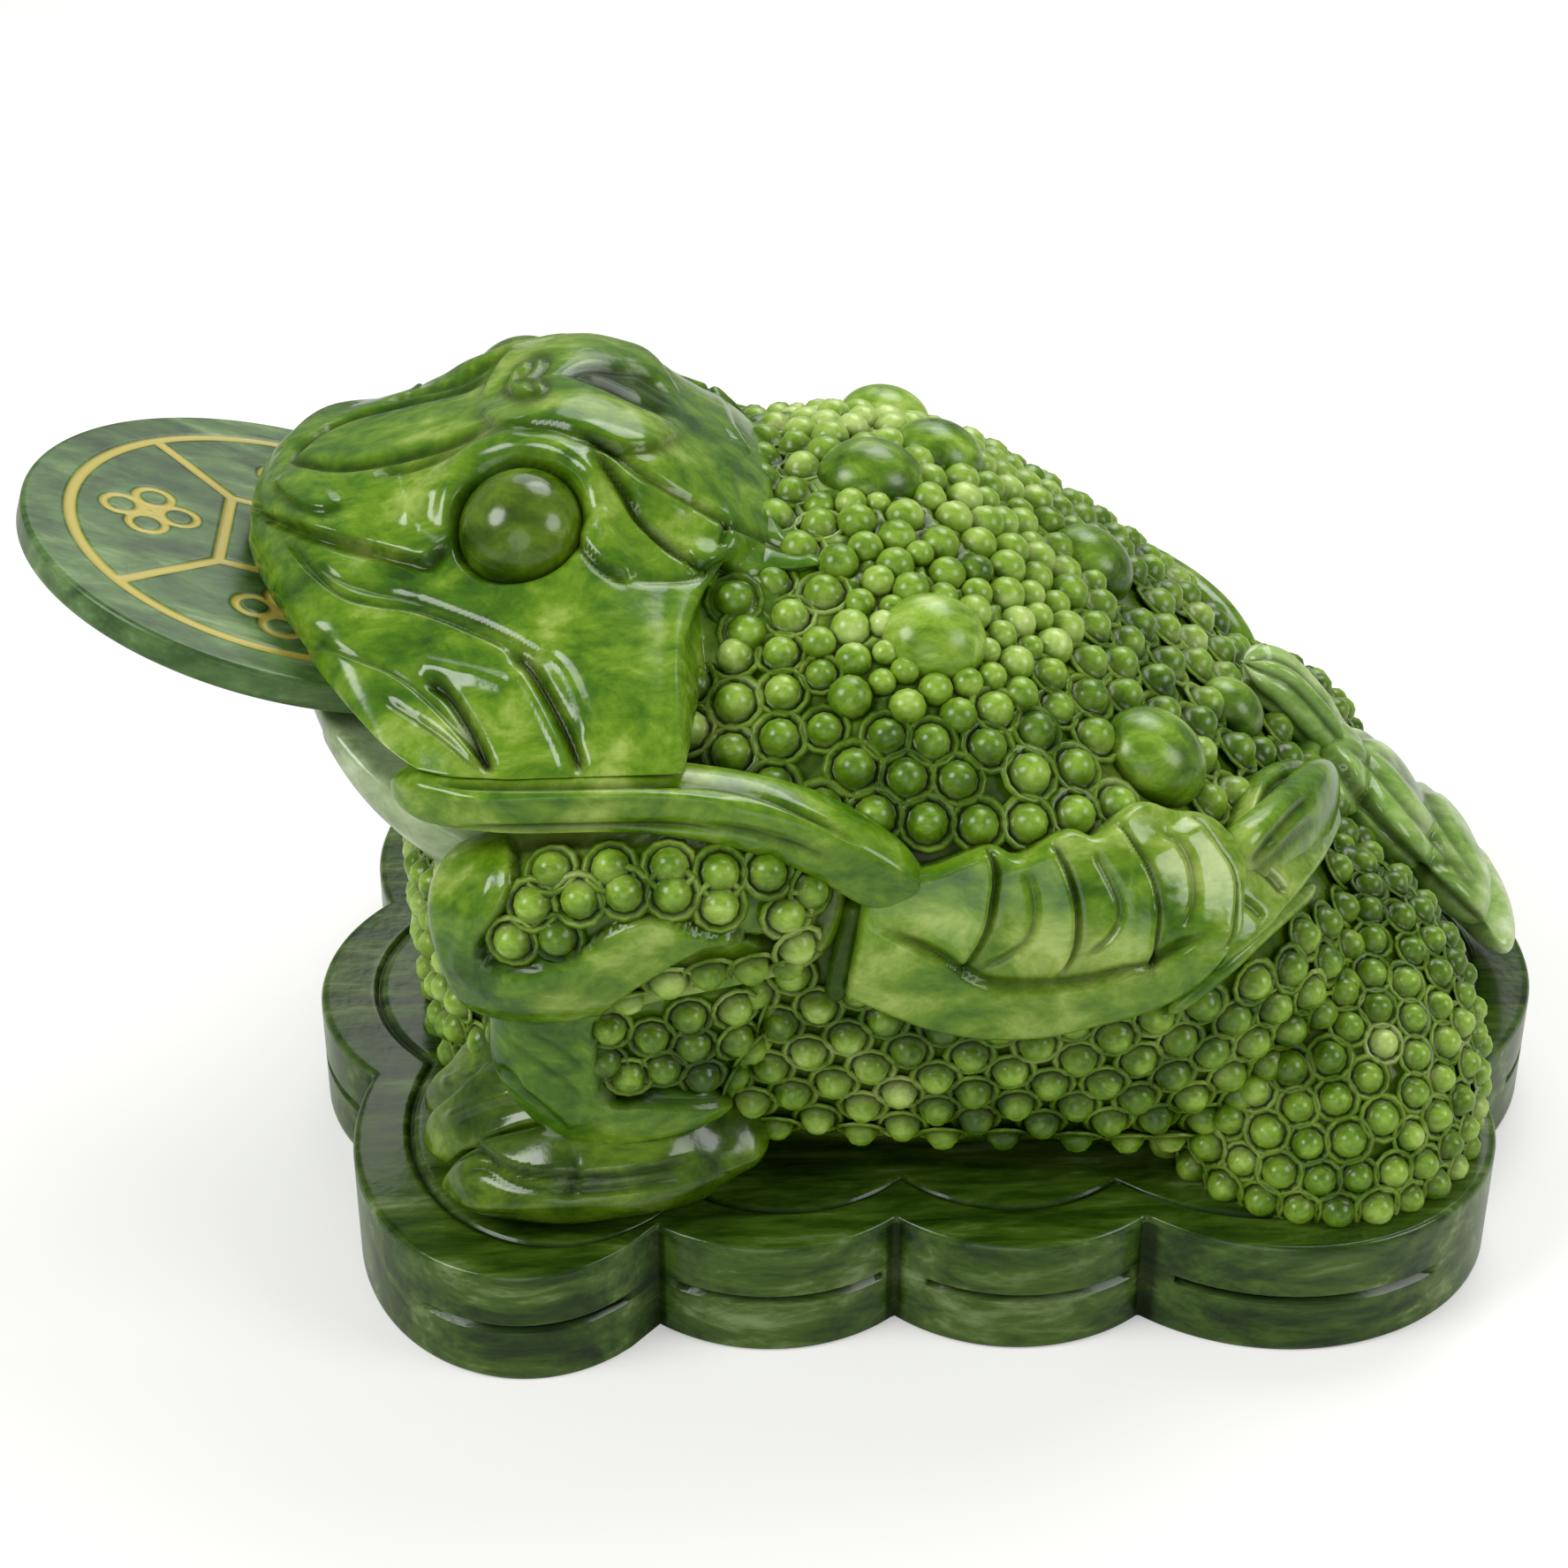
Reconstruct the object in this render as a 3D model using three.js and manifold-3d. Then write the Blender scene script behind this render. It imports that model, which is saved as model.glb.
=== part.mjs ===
// Money toad ornament on a scalloped plinth, with a loose coin between its lips.
// Millimetres, +Z up. The toad looks towards -X and its left side faces -Y.
// The origin is the middle of the plinth's underside.
import * as THREE from "three";
import { ParametricGeometry } from "three/addons/geometries/ParametricGeometry.js";
import { mergeVertices } from "three/addons/utils/BufferGeometryUtils.js";
import Module from "manifold-3d";

const wasm = await Module();
wasm.setup();
const { Manifold, Mesh } = wasm;

// Bond line between two carved members that meet
const BOND_GAP = 0.25;

// Plinth, a bed of overlapping coins
const PLINTH_LENGTH = 200;
const PLINTH_WIDTH = 153;
const PLINTH_HEIGHT = 19.5;
const SLIT_HEIGHT = 1.6;
const SLIT_DEPTH = 2.2;
const SLIT_SPAN = 0.62;

// Trunk
const BODY_FRONT = -84;
const BODY_LENGTH = 164;
const BODY_HALF_WIDTH = 68;
const BODY_HEIGHT = 92.5;
const BODY_SQUARENESS = 2.05;
const BELLY_DEPTH = 32.5;

// Head above the mouth
const HEAD_LENGTH = 78;
const HEAD_OVERLAP = 58;
const HEAD_HALF_WIDTH = 64;
const HEAD_HEIGHT = 33.5;
const HEAD_ROUNDNESS = 1.75;
const NAPE_TAPER = 24;
const CHEEK_HEIGHT = 73.5;
const LIP_HEIGHT = 84.5;
const MOUTH_TILT = THREE.MathUtils.degToRad(17.3);

// Lower jaw
const JAW_SETBACK = 7;
const JAW_LENGTH = 52;
const JAW_HALF_WIDTH = 57;
const JAW_DEPTH = 32;
const JAW_DROOP = 8;

// Eyes, brows and warts
const EYE_RADIUS = 9.4;
const EYE_ALONG_HEAD = 0.526;
const EYE_SIDE = 27;
const EYE_SINK = 4.4;
const EYELID_RADIUS = 10.6;
const EYELID_THICKNESS = 5.2;
const BROW_LENGTH = 30;
const BROW_WIDTH = 18;
const BROW_HEIGHT = 8;
const BROW_ALONG_HEAD = 0.628;
const BROW_SIDE = 10.5;
const WART_RADIUS = 7.5;
const WART_SINK = 1.5;
const WART_RISE = 0.85;

// Beads cut all over the trunk and thighs, of which the solid carries the main ones
const BEAD_RADIUS = 3.4;
const BEAD_SINK = 2.2;
const BEAD_PITCH = 15;

// Coin held in the mouth
const COIN_RADIUS = 40.6;
const COIN_THICKNESS = 4.6;
const COIN_BEVEL = 0.6;
const COIN_FROM_LIP = 5.7;
const COIN_RING_RADIUS = 33.5;
const COIN_SQUARE = 10.6;
const COIN_LINE = 1.7;
const COIN_LINE_DEPTH = 0.4;
const COIN_TOP_ROOM = 1.8;
const COIN_SEAT = 0.3;
const COIN_STOP_ROOM = 2.5;

// Limbs, collar, coin string and rear
const COLLAR_HEIGHT = 9;
const COLLAR_THICKNESS = 10;
const ARM_HEIGHT = 26;
const ARM_THICKNESS = 22;
const FOREARM_LENGTH = 40;
const FOREARM_THICKNESS = 21;
const FOOT_WIDTH = 28;
const FOOT_HEIGHT = 19;
const TOE_RADIUS = 5;
const THIGH_LENGTH = 54;
const THIGH_WIDTH = 57;
const THIGH_HEIGHT = 56;
const THIGH_LEAN = 0.42;
const STRING_HEIGHT = 28;
const FAR_STRING_DROP = 9;
const STRING_THICKNESS = 10;
const STRING_COIN_RADIUS = 11.5;
const STRING_COIN_THICKNESS = 3.4;
const STRING_COIN_COUNT = 5;
const STRING_COIN_LEAN = THREE.MathUtils.degToRad(7);
const TAIL_WIDTH = 36;
const TAIL_THICKNESS = 13;
const KNOT_WIDTH = 11;
const KNOT_THICKNESS = 8;

const BODY_REAR = BODY_FRONT + BODY_LENGTH;
const SEAT = PLINTH_HEIGHT + BOND_GAP;
const HEAD_REAR = BODY_FRONT + HEAD_OVERLAP;
const NOSE = HEAD_REAR - HEAD_LENGTH;
const CHEEK_Z = PLINTH_HEIGHT + CHEEK_HEIGHT;
const LIP_Z = PLINTH_HEIGHT + LIP_HEIGHT;
const COIN_X = NOSE + COIN_FROM_LIP;
const SLOT_END = COIN_X + COIN_RADIUS * Math.cos(MOUTH_TILT) + COIN_STOP_ROOM;
const MOUTH_GAP = (COIN_THICKNESS + COIN_TOP_ROOM + COIN_SEAT) / Math.cos(MOUTH_TILT);

// Smooth curve through [position, value] points, without overshoot
function profile(points) {
  const last = points.length - 1;
  const slopes = points.slice(1).map(([x, y], i) => (y - points[i][1]) / (x - points[i][0]));
  const tangents = points.map((point, i) => {
    if (i === 0) return slopes[0];
    if (i === last) return slopes[last - 1];
    const product = slopes[i - 1] * slopes[i];
    return product > 0 ? (2 * product) / (slopes[i - 1] + slopes[i]) : 0;
  });
  return (at) => {
    let k = 0;
    while (k < last - 1 && at > points[k + 1][0]) k += 1;
    const span = points[k + 1][0] - points[k][0];
    const q = THREE.MathUtils.clamp((at - points[k][0]) / span, 0, 1);
    const q2 = q * q;
    const q3 = q2 * q;
    const start = (2 * q3 - 3 * q2 + 1) * points[k][1] + (q3 - 2 * q2 + q) * span * tangents[k];
    const end = (3 * q2 - 2 * q3) * points[k + 1][1] + (q3 - q2) * span * tangents[k + 1];
    return start + end;
  };
}

function signedPower(value, power) {
  return Math.sign(value) * Math.abs(value) ** power;
}

// Positions only, welded, with no flat triangles, facing out
function welded(geometry) {
  const bare = new THREE.BufferGeometry();
  bare.setAttribute("position", geometry.getAttribute("position").clone());
  if (geometry.index) bare.setIndex(Array.from(geometry.index.array));
  const merged = mergeVertices(bare, 1e-3);
  const source = Array.from(merged.index.array);
  const kept = [];
  for (let i = 0; i < source.length; i += 3) {
    const [a, b, c] = source.slice(i, i + 3);
    if (a !== b && b !== c && c !== a) kept.push(a, b, c);
  }
  const position = merged.getAttribute("position");
  const corners = [new THREE.Vector3(), new THREE.Vector3(), new THREE.Vector3()];
  let volume = 0;
  for (let i = 0; i < kept.length; i += 3) {
    corners.forEach((corner, j) => corner.fromBufferAttribute(position, kept[i + j]));
    volume += corners[0].dot(corners[1].cross(corners[2]));
  }
  if (volume < 0) kept.reverse();
  merged.setIndex(kept);
  return merged;
}

// Copy pushed out along its normals, used to leave the bond line
function swollen(geometry, distance) {
  const grown = welded(geometry);
  grown.computeVertexNormals();
  const position = grown.getAttribute("position");
  const normal = grown.getAttribute("normal");
  for (let i = 0; i < position.count; i += 1) {
    position.setXYZ(
      i,
      position.getX(i) + normal.getX(i) * distance,
      position.getY(i) + normal.getY(i) * distance,
      position.getZ(i) + normal.getZ(i) * distance,
    );
  }
  return grown;
}

function toSolid(geometry) {
  const clean = welded(geometry);
  const mesh = new Mesh({
    numProp: 3,
    vertProperties: new Float32Array(clean.getAttribute("position").array),
    triVerts: new Uint32Array(clean.index.array),
  });
  mesh.merge();
  return new Manifold(mesh);
}

function toGeometry(solid) {
  const mesh = solid.getMesh();
  const geometry = new THREE.BufferGeometry();
  geometry.setAttribute("position", new THREE.BufferAttribute(new Float32Array(mesh.vertProperties), 3));
  geometry.setIndex(Array.from(mesh.triVerts));
  return geometry;
}

function largest(solid) {
  const bodies = solid.decompose();
  return bodies.reduce((best, body) => (body.volume() > best.volume() ? body : best));
}

// Form with its larger neighbours, each swollen by the bond gap, taken out of it
function carve(form, neighbours, cutters = []) {
  let solid = form.isBufferGeometry ? toSolid(form) : form;
  neighbours.forEach((neighbour) => {
    solid = solid.subtract(toSolid(swollen(neighbour, BOND_GAP)));
  });
  cutters.forEach((cutter) => {
    solid = solid.subtract(cutter);
  });
  return largest(solid);
}

function mirrored(geometry) {
  return geometry.clone().applyMatrix4(new THREE.Matrix4().makeScale(1, -1, 1));
}

// Surface closed at both ends of u and all round v
function closedSurface(at, along, around) {
  return new ParametricGeometry(
    (u, v, target) => at(u, v % 1, target),
    along,
    around,
  );
}

function ellipsoid(center, size, along = 14, around = 20) {
  const geometry = new THREE.SphereGeometry(0.5, around, along);
  geometry.scale(size.x, size.y, size.z);
  geometry.translate(center.x, center.y, center.z);
  return geometry;
}

// Tapered limb: points are {at, wide, tall}, ends are rounded, foot stops on the seat
function limb(points, up, along = 16, around = 14) {
  const path = new THREE.CatmullRomCurve3(points.map((point) => point.at));
  const step = 1 / (points.length - 1);
  const wide = profile(points.map((point, i) => [i * step, point.wide]));
  const tall = profile(points.map((point, i) => [i * step, point.tall]));
  return closedSurface(
    (u, v, target) => {
      const center = path.getPoint(u);
      const forward = path.getTangent(u);
      const side = new THREE.Vector3().crossVectors(forward, up).normalize();
      const above = new THREE.Vector3().crossVectors(side, forward);
      const nearEnd = THREE.MathUtils.clamp((Math.abs(u - 0.5) - 0.38) / 0.12, 0, 1);
      const round = Math.sqrt(1 - nearEnd * nearEnd);
      const turn = 2 * Math.PI * v;
      target.copy(center);
      target.addScaledVector(side, (wide(u) / 2) * round * Math.cos(turn));
      target.addScaledVector(above, (tall(u) / 2) * round * Math.sin(turn));
      target.z = Math.max(target.z, SEAT);
    },
    along,
    around,
  );
}

// Lobes of the plinth: place and half-size along X as shares of the half length
const HALF_LENGTH = PLINTH_LENGTH / 2;
const HALF_WIDTH = PLINTH_WIDTH / 2;
const EDGE_LOBES = [
  { at: -0.66, along: 0.265, across: 36, inset: 1 },
  { at: -0.29, along: 0.27, across: 27, inset: 5 },
  { at: 0.08, along: 0.27, across: 27, inset: 3 },
  { at: 0.49, along: 0.34, across: 33, inset: 0 },
];
const END_LOBES = [
  { side: -1, radius: 36 },
  { side: 1, radius: 43.5 },
];

function plinthLobes() {
  const lobes = [];
  EDGE_LOBES.forEach(({ at, along, across, inset }) => {
    [-1, 1].forEach((side) => {
      const y = side * (HALF_WIDTH - inset - across);
      lobes.push({ x: at * HALF_LENGTH, y, rx: along * HALF_LENGTH, ry: across, faces: side * 90 });
    });
  });
  END_LOBES.forEach(({ side, radius }) => {
    const x = side * (HALF_LENGTH - radius);
    lobes.push({ x, y: 0, rx: radius, ry: radius, faces: side > 0 ? 0 : 180 });
  });
  return lobes;
}

function ellipsePlate(lobe, grow, from, to) {
  const shape = new THREE.Shape();
  shape.absellipse(lobe.x, lobe.y, lobe.rx + grow, lobe.ry + grow, 0, 2 * Math.PI);
  const settings = { depth: to - from, bevelEnabled: false, curveSegments: 12 };
  const plate = new THREE.ExtrudeGeometry(shape, settings);
  plate.translate(0, 0, from);
  return toSolid(plate);
}

function slitCutter(lobe) {
  const facing = THREE.MathUtils.degToRad(lobe.faces);
  const half = SLIT_SPAN;
  const shape = new THREE.Shape();
  shape.absellipse(lobe.x, lobe.y, lobe.rx + 3, lobe.ry + 3, facing - half, facing + half, false);
  shape.absellipse(
    lobe.x,
    lobe.y,
    lobe.rx - SLIT_DEPTH,
    lobe.ry - SLIT_DEPTH,
    facing + half,
    facing - half,
    true,
  );
  const settings = { depth: SLIT_HEIGHT, bevelEnabled: false, curveSegments: 3 };
  const band = new THREE.ExtrudeGeometry(shape, settings);
  band.translate(0, 0, (PLINTH_HEIGHT - SLIT_HEIGHT) / 2);
  return toSolid(band);
}

function makePlinth() {
  const lobes = plinthLobes();
  const core = new THREE.BoxGeometry(PLINTH_LENGTH * 0.72, PLINTH_WIDTH * 0.8, PLINTH_HEIGHT);
  core.translate(0, 0, PLINTH_HEIGHT / 2);
  let solid = toSolid(core);
  lobes.forEach((lobe) => {
    solid = solid.add(ellipsePlate(lobe, 0, 0, PLINTH_HEIGHT));
  });
  lobes.forEach((lobe) => {
    solid = solid.subtract(slitCutter(lobe));
  });
  return largest(solid);
}

// Trunk: stations are shares of its length, height and half width
const BODY_TOP = profile([
  [0, 0.35], [0.012, 0.44], [0.049, 0.546], [0.134, 0.762], [0.25, 0.935], [0.348, 0.989], [0.427, 1],
  [0.512, 0.968], [0.622, 0.849], [0.707, 0.735], [0.799, 0.595], [0.89, 0.416], [0.951, 0.276], [1, 0.135],
]);
const BODY_WIDTH = profile([
  [0, 0], [0.009, 0.265], [0.024, 0.44], [0.049, 0.618], [0.134, 0.824], [0.25, 0.912], [0.348, 0.956],
  [0.512, 1], [0.622, 1], [0.707, 0.97], [0.799, 0.882], [0.89, 0.676], [0.951, 0.426], [0.988, 0.19], [1, 0],
]);
const BODY_WAIST = profile([
  [0, 0.35], [0.049, 0.395], [0.134, 0.46], [0.268, 0.503], [0.512, 0.481], [0.707, 0.416], [0.89, 0.265],
  [1, 0.135],
]);

function bodyStation(x) {
  const share = (x - BODY_FRONT) / BODY_LENGTH;
  return {
    half: BODY_WIDTH(share) * BODY_HALF_WIDTH,
    top: PLINTH_HEIGHT + BODY_TOP(share) * BODY_HEIGHT,
    waist: PLINTH_HEIGHT + BODY_WAIST(share) * BODY_HEIGHT,
  };
}

// Point of the trunk's skin at x and turn, where turn 0 is the top and 0.25 its right side
function bodyPoint(x, turn, target) {
  const { half, top, waist } = bodyStation(x);
  const angle = 2 * Math.PI * turn;
  const rise = Math.abs(Math.cos(angle)) ** (2 / BODY_SQUARENESS);
  const belly = (waist + BELLY_DEPTH - PLINTH_HEIGHT) * Math.min(half / 40, 1);
  const z = Math.cos(angle) >= 0 ? waist + (top - waist) * rise : waist - belly * rise;
  const y = half * signedPower(Math.sin(angle), 2 / BODY_SQUARENESS);
  return target.set(x, y, Math.max(z, SEAT));
}

function bodyForm() {
  return closedSurface(
    (u, v, target) => bodyPoint(BODY_FRONT + (BODY_LENGTH * (1 - Math.cos(Math.PI * u))) / 2, v, target),
    20,
    26,
  );
}

// Half width of the trunk at x and height z
function flank(x, z) {
  const { half, top, waist } = bodyStation(x);
  const reach = z >= waist ? top - waist : waist + BELLY_DEPTH - PLINTH_HEIGHT;
  const share = THREE.MathUtils.clamp(Math.abs(z - waist) / reach, 0, 1);
  return half * (1 - share ** BODY_SQUARENESS) ** (1 / BODY_SQUARENESS);
}

// Height of the trunk's skin over a point of the plan
function backHeight(x, y) {
  const { half, top, waist } = bodyStation(x);
  const share = THREE.MathUtils.clamp(Math.abs(y) / half, 0, 1);
  return waist + (top - waist) * (1 - share ** BODY_SQUARENESS) ** (1 / BODY_SQUARENESS);
}

// Plane of the upper lip, which rises towards the nose
function lipPlane(x) {
  return LIP_Z - Math.tan(MOUTH_TILT) * (Math.min(x, SLOT_END) - NOSE);
}

const HEAD_TOP = profile([
  [0, 0.328], [0.009, 0.44], [0.032, 0.53], [0.077, 0.612], [0.154, 0.696], [0.282, 0.761], [0.41, 0.836],
  [0.538, 0.964], [0.641, 1.015], [0.744, 0.955], [0.846, 0.79], [0.949, 0.642], [1, 0.537],
]);

// Height of a section over the eyes against its half width: flat crown, steep lids, sloping cheek
const HEAD_CROWN = profile([
  [0, 1], [0.14, 0.995], [0.24, 0.965], [0.31, 0.9], [0.4, 0.74], [0.5, 0.58], [0.7, 0.36], [0.85, 0.2],
  [0.95, 0.075], [1, 0],
]);

// Half width of the head seen from above: a pointed snout that opens into full cheeks
const HEAD_PLAN = profile([
  [0, 0], [0.006, 0.075], [0.02, 0.15], [0.051, 0.255], [0.089, 0.39], [0.132, 0.525], [0.187, 0.68],
  [0.24, 0.795], [0.287, 0.88], [0.34, 0.94], [0.42, 0.98], [0.52, 1], [1, 1],
]);

function headHalf(x) {
  const nape = NAPE_TAPER * THREE.MathUtils.smoothstep(x, HEAD_REAR - 15, HEAD_REAR - 9);
  return HEAD_HALF_WIDTH * HEAD_PLAN(THREE.MathUtils.clamp((x - NOSE) / HEAD_LENGTH, 0, 1)) - nape;
}

function headTop(x) {
  return CHEEK_Z + HEAD_TOP((x - NOSE) / HEAD_LENGTH) * HEAD_HEIGHT;
}

// Share of the head's height at a share of its half width, rounder at the nose and the nape
function headRise(x, share) {
  const round = (1 - share ** HEAD_ROUNDNESS) ** (1 / HEAD_ROUNDNESS);
  const nose = 1 - THREE.MathUtils.smoothstep(x, NOSE + 8, NOSE + 24);
  const nape = THREE.MathUtils.smoothstep(x, HEAD_REAR - 18, HEAD_REAR - 4);
  const blend = Math.max(nose, nape);
  return round * blend + HEAD_CROWN(share) * (1 - blend);
}

function headHeight(x, y) {
  const floor = Math.max(lipPlane(x), CHEEK_Z);
  const share = THREE.MathUtils.clamp(Math.abs(y) / headHalf(x), 0, 1);
  return floor + (headTop(x) - floor) * headRise(x, share);
}

function headForm() {
  const power = 2 / HEAD_ROUNDNESS;
  return closedSurface(
    (u, v, target) => {
      const share = Math.min(u / 0.96, 1);
      const x = NOSE + HEAD_LENGTH * (1 - Math.cos((Math.PI * share) / 2));
      const floor = Math.max(lipPlane(x), CHEEK_Z);
      const closing = u > 0.98 ? 0 : 1;
      const half = headHalf(x) * closing;
      const rise = Math.max(headTop(x) - floor, 0) * closing;
      const angle = 2 * Math.PI * v - Math.PI / 2;
      const across = v <= 0.5 ? signedPower(Math.sin(angle), power) : 1 - (v - 0.5) * 4;
      const up = v <= 0.5 ? headRise(x, Math.min(Math.abs(across), 1)) : 0;
      target.set(x, half * across, floor + rise * up);
    },
    26,
    44,
  );
}

const JAW_BOWL = profile([
  [0, 0], [0.02, 0.24], [0.09, 0.5], [0.24, 0.73], [0.44, 0.86], [0.72, 0.95], [1, 1],
]);

function jawForm() {
  const front = NOSE + JAW_SETBACK;
  return closedSurface(
    (u, v, target) => {
      const share = Math.min(u / 0.95, 1);
      const along = 1 - Math.cos((Math.PI * share) / 2);
      const x = front + JAW_LENGTH * along;
      const closing = u > 0.97 ? 0 : 1;
      const reach = JAW_LENGTH * 1.09;
      const plan = THREE.MathUtils.clamp((front + reach - x) / reach, 0, 1);
      const half = JAW_HALF_WIDTH * (1 - plan ** 3) ** (1 / 3) * closing;
      const angle = 2 * Math.PI * v - Math.PI / 2;
      const across = v <= 0.5 ? Math.sin(angle) : 1 - (v - 0.5) * 4;
      const hang = v <= 0.5 ? Math.max(Math.cos(angle), 0) * JAW_BOWL(along) * JAW_DEPTH * closing : 0;
      const y = half * across;
      const edge = lipPlane(x) - MOUTH_GAP - JAW_DROOP * (Math.abs(y) / JAW_HALF_WIDTH) ** 3;
      target.set(x, y, edge - hang);
    },
    12,
    20,
  );
}

// Tilted slot that the coin slides in, taken out of the trunk
function mouthSlot() {
  const length = 90;
  const slot = new THREE.BoxGeometry(length, 2 * COIN_RADIUS + 8, COIN_THICKNESS + COIN_TOP_ROOM + COIN_SEAT);
  slot.translate(-length / 2, 0, 0);
  slot.rotateY(MOUTH_TILT);
  const middle = lipPlane(SLOT_END) - MOUTH_GAP / 2;
  slot.translate(SLOT_END, 0, middle);
  return toSolid(slot);
}

function makeCoin() {
  const half = COIN_THICKNESS / 2;
  const outline = [
    new THREE.Vector2(0, -half),
    new THREE.Vector2(COIN_RADIUS - COIN_BEVEL, -half),
    new THREE.Vector2(COIN_RADIUS, -half + COIN_BEVEL),
    new THREE.Vector2(COIN_RADIUS, half - COIN_BEVEL),
    new THREE.Vector2(COIN_RADIUS - COIN_BEVEL, half),
    new THREE.Vector2(0, half),
  ];
  const disc = new THREE.LatheGeometry(outline, 40);
  disc.rotateX(Math.PI / 2);
  let lines = null;
  const addLine = (solid) => {
    lines = lines ? lines.add(solid) : solid;
  };
  const floor = half - COIN_LINE_DEPTH;
  const ringAt = (radius, from, to) => ellipsePlate({ x: 0, y: 0, rx: radius, ry: radius }, 0, from, to);
  addLine(
    ringAt(COIN_RING_RADIUS + COIN_LINE / 2, floor, half + 1).subtract(
      ringAt(COIN_RING_RADIUS - COIN_LINE / 2, floor - 1, half + 2),
    ),
  );
  for (let quarter = 0; quarter < 4; quarter += 1) {
    const side = new THREE.BoxGeometry(2 * COIN_SQUARE + COIN_LINE, COIN_LINE, COIN_LINE_DEPTH + 1);
    side.translate(0, COIN_SQUARE, floor + (COIN_LINE_DEPTH + 1) / 2);
    const corner = Math.SQRT2 * COIN_SQUARE;
    const reach = COIN_RING_RADIUS - corner;
    const spoke = new THREE.BoxGeometry(reach, COIN_LINE, COIN_LINE_DEPTH + 1);
    spoke.translate(corner + reach / 2, 0, floor + (COIN_LINE_DEPTH + 1) / 2);
    spoke.rotateZ(Math.PI / 4);
    [side, spoke].forEach((line) => {
      line.rotateZ((quarter * Math.PI) / 2);
      addLine(toSolid(line));
    });
  }
  return largest(toSolid(disc).subtract(lines));
}

const UP = new THREE.Vector3(0, 0, 1);
const ACROSS = new THREE.Vector3(0, 1, 0);
const LEFT = -1;

function point(x, out, z) {
  return new THREE.Vector3(x, LEFT * out, z);
}

// Place on the head's skin beside the middle line, with the direction square to it
function headSkin(x, side) {
  const fall = (headHeight(x, side - 3) - headHeight(x, side + 3)) / 6;
  const climb = (headHeight(x + 3, side) - headHeight(x - 3, side)) / 6;
  return { at: point(x, side, headHeight(x, side)), out: point(-climb, fall, 1).normalize() };
}

function eyeForm() {
  const { at, out } = headSkin(NOSE + EYE_ALONG_HEAD * HEAD_LENGTH, EYE_SIDE);
  return ellipsoid(
    at.addScaledVector(out, -EYE_SINK),
    new THREE.Vector3(2 * EYE_RADIUS, 2 * EYE_RADIUS, 2 * EYE_RADIUS),
    8,
    14,
  );
}

// Raised rim round the eye, square to the face there
function eyelidForm() {
  const { at, out } = headSkin(NOSE + EYE_ALONG_HEAD * HEAD_LENGTH, EYE_SIDE);
  const rim = new THREE.TorusGeometry(EYELID_RADIUS, EYELID_THICKNESS / 2, 6, 14);
  rim.applyQuaternion(new THREE.Quaternion().setFromUnitVectors(UP, out));
  rim.translate(at.x, at.y, at.z);
  return rim;
}

function browForm() {
  const x = NOSE + BROW_ALONG_HEAD * HEAD_LENGTH;
  return ellipsoid(
    point(x, BROW_SIDE, headHeight(x, BROW_SIDE) - 1.5),
    new THREE.Vector3(BROW_LENGTH, BROW_WIDTH, BROW_HEIGHT),
    8,
    14,
  );
}

function collarForm() {
  const z = CHEEK_Z - BOND_GAP - COLLAR_HEIGHT / 2;
  const rows = [
    { x: NOSE + 24, out: 0.95, drop: 0.5, wide: 0.8, tall: 0.9 },
    { x: NOSE + 38, out: 1, drop: 0, wide: 1, tall: 1 },
    { x: NOSE + 59, out: 1, drop: 0.5, wide: 1, tall: 1 },
    { x: NOSE + 79, out: 1, drop: 4, wide: 1, tall: 1.1 },
    { x: NOSE + 92, out: 1, drop: 11, wide: 0.8, tall: 1.3 },
  ];
  return limb(
    rows.map(({ x, out, drop, wide, tall }) => ({
      at: point(x, Math.max(out * flank(x, z - drop), HEAD_HALF_WIDTH * (out - 0.05)), z - drop),
      wide: COLLAR_THICKNESS * wide,
      tall: COLLAR_HEIGHT * tall,
    })),
    UP,
    12,
    8,
  );
}

function armForm() {
  const z = CHEEK_Z - COLLAR_HEIGHT - ARM_HEIGHT / 2 + 3;
  const rows = [
    { x: 9, out: 0.82, drop: 6.5, wide: 0.78, tall: 0.85 },
    { x: 22, out: 0.91, drop: 3, wide: 1, tall: 1.1 },
    { x: 40, out: 0.94, drop: -1, wide: 1, tall: 1 },
    { x: 64, out: 0.9, drop: -1, wide: 0.75, tall: 0.8 },
  ];
  return limb(
    rows.map(({ x, out, drop, wide, tall }) => ({
      at: point(BODY_FRONT + x, BODY_HALF_WIDTH * out, z - drop),
      wide: ARM_THICKNESS * wide,
      tall: ARM_HEIGHT * tall,
    })),
    UP,
    9,
    8,
  );
}

function forearmForm() {
  const top = CHEEK_Z - COLLAR_HEIGHT - ARM_HEIGHT + 8;
  const foot = SEAT + FOOT_HEIGHT - 4;
  const rows = [
    { x: 38, out: 0.85, z: top },
    { x: 34, out: 0.84, z: (top + foot) / 2 },
    { x: 31, out: 0.81, z: foot },
  ];
  return limb(
    rows.map(({ x, out, z }) => ({
      at: point(BODY_FRONT + x, BODY_HALF_WIDTH * out, z),
      wide: FOREARM_LENGTH,
      tall: FOREARM_THICKNESS,
    })),
    ACROSS,
    8,
    12,
  );
}

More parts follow.
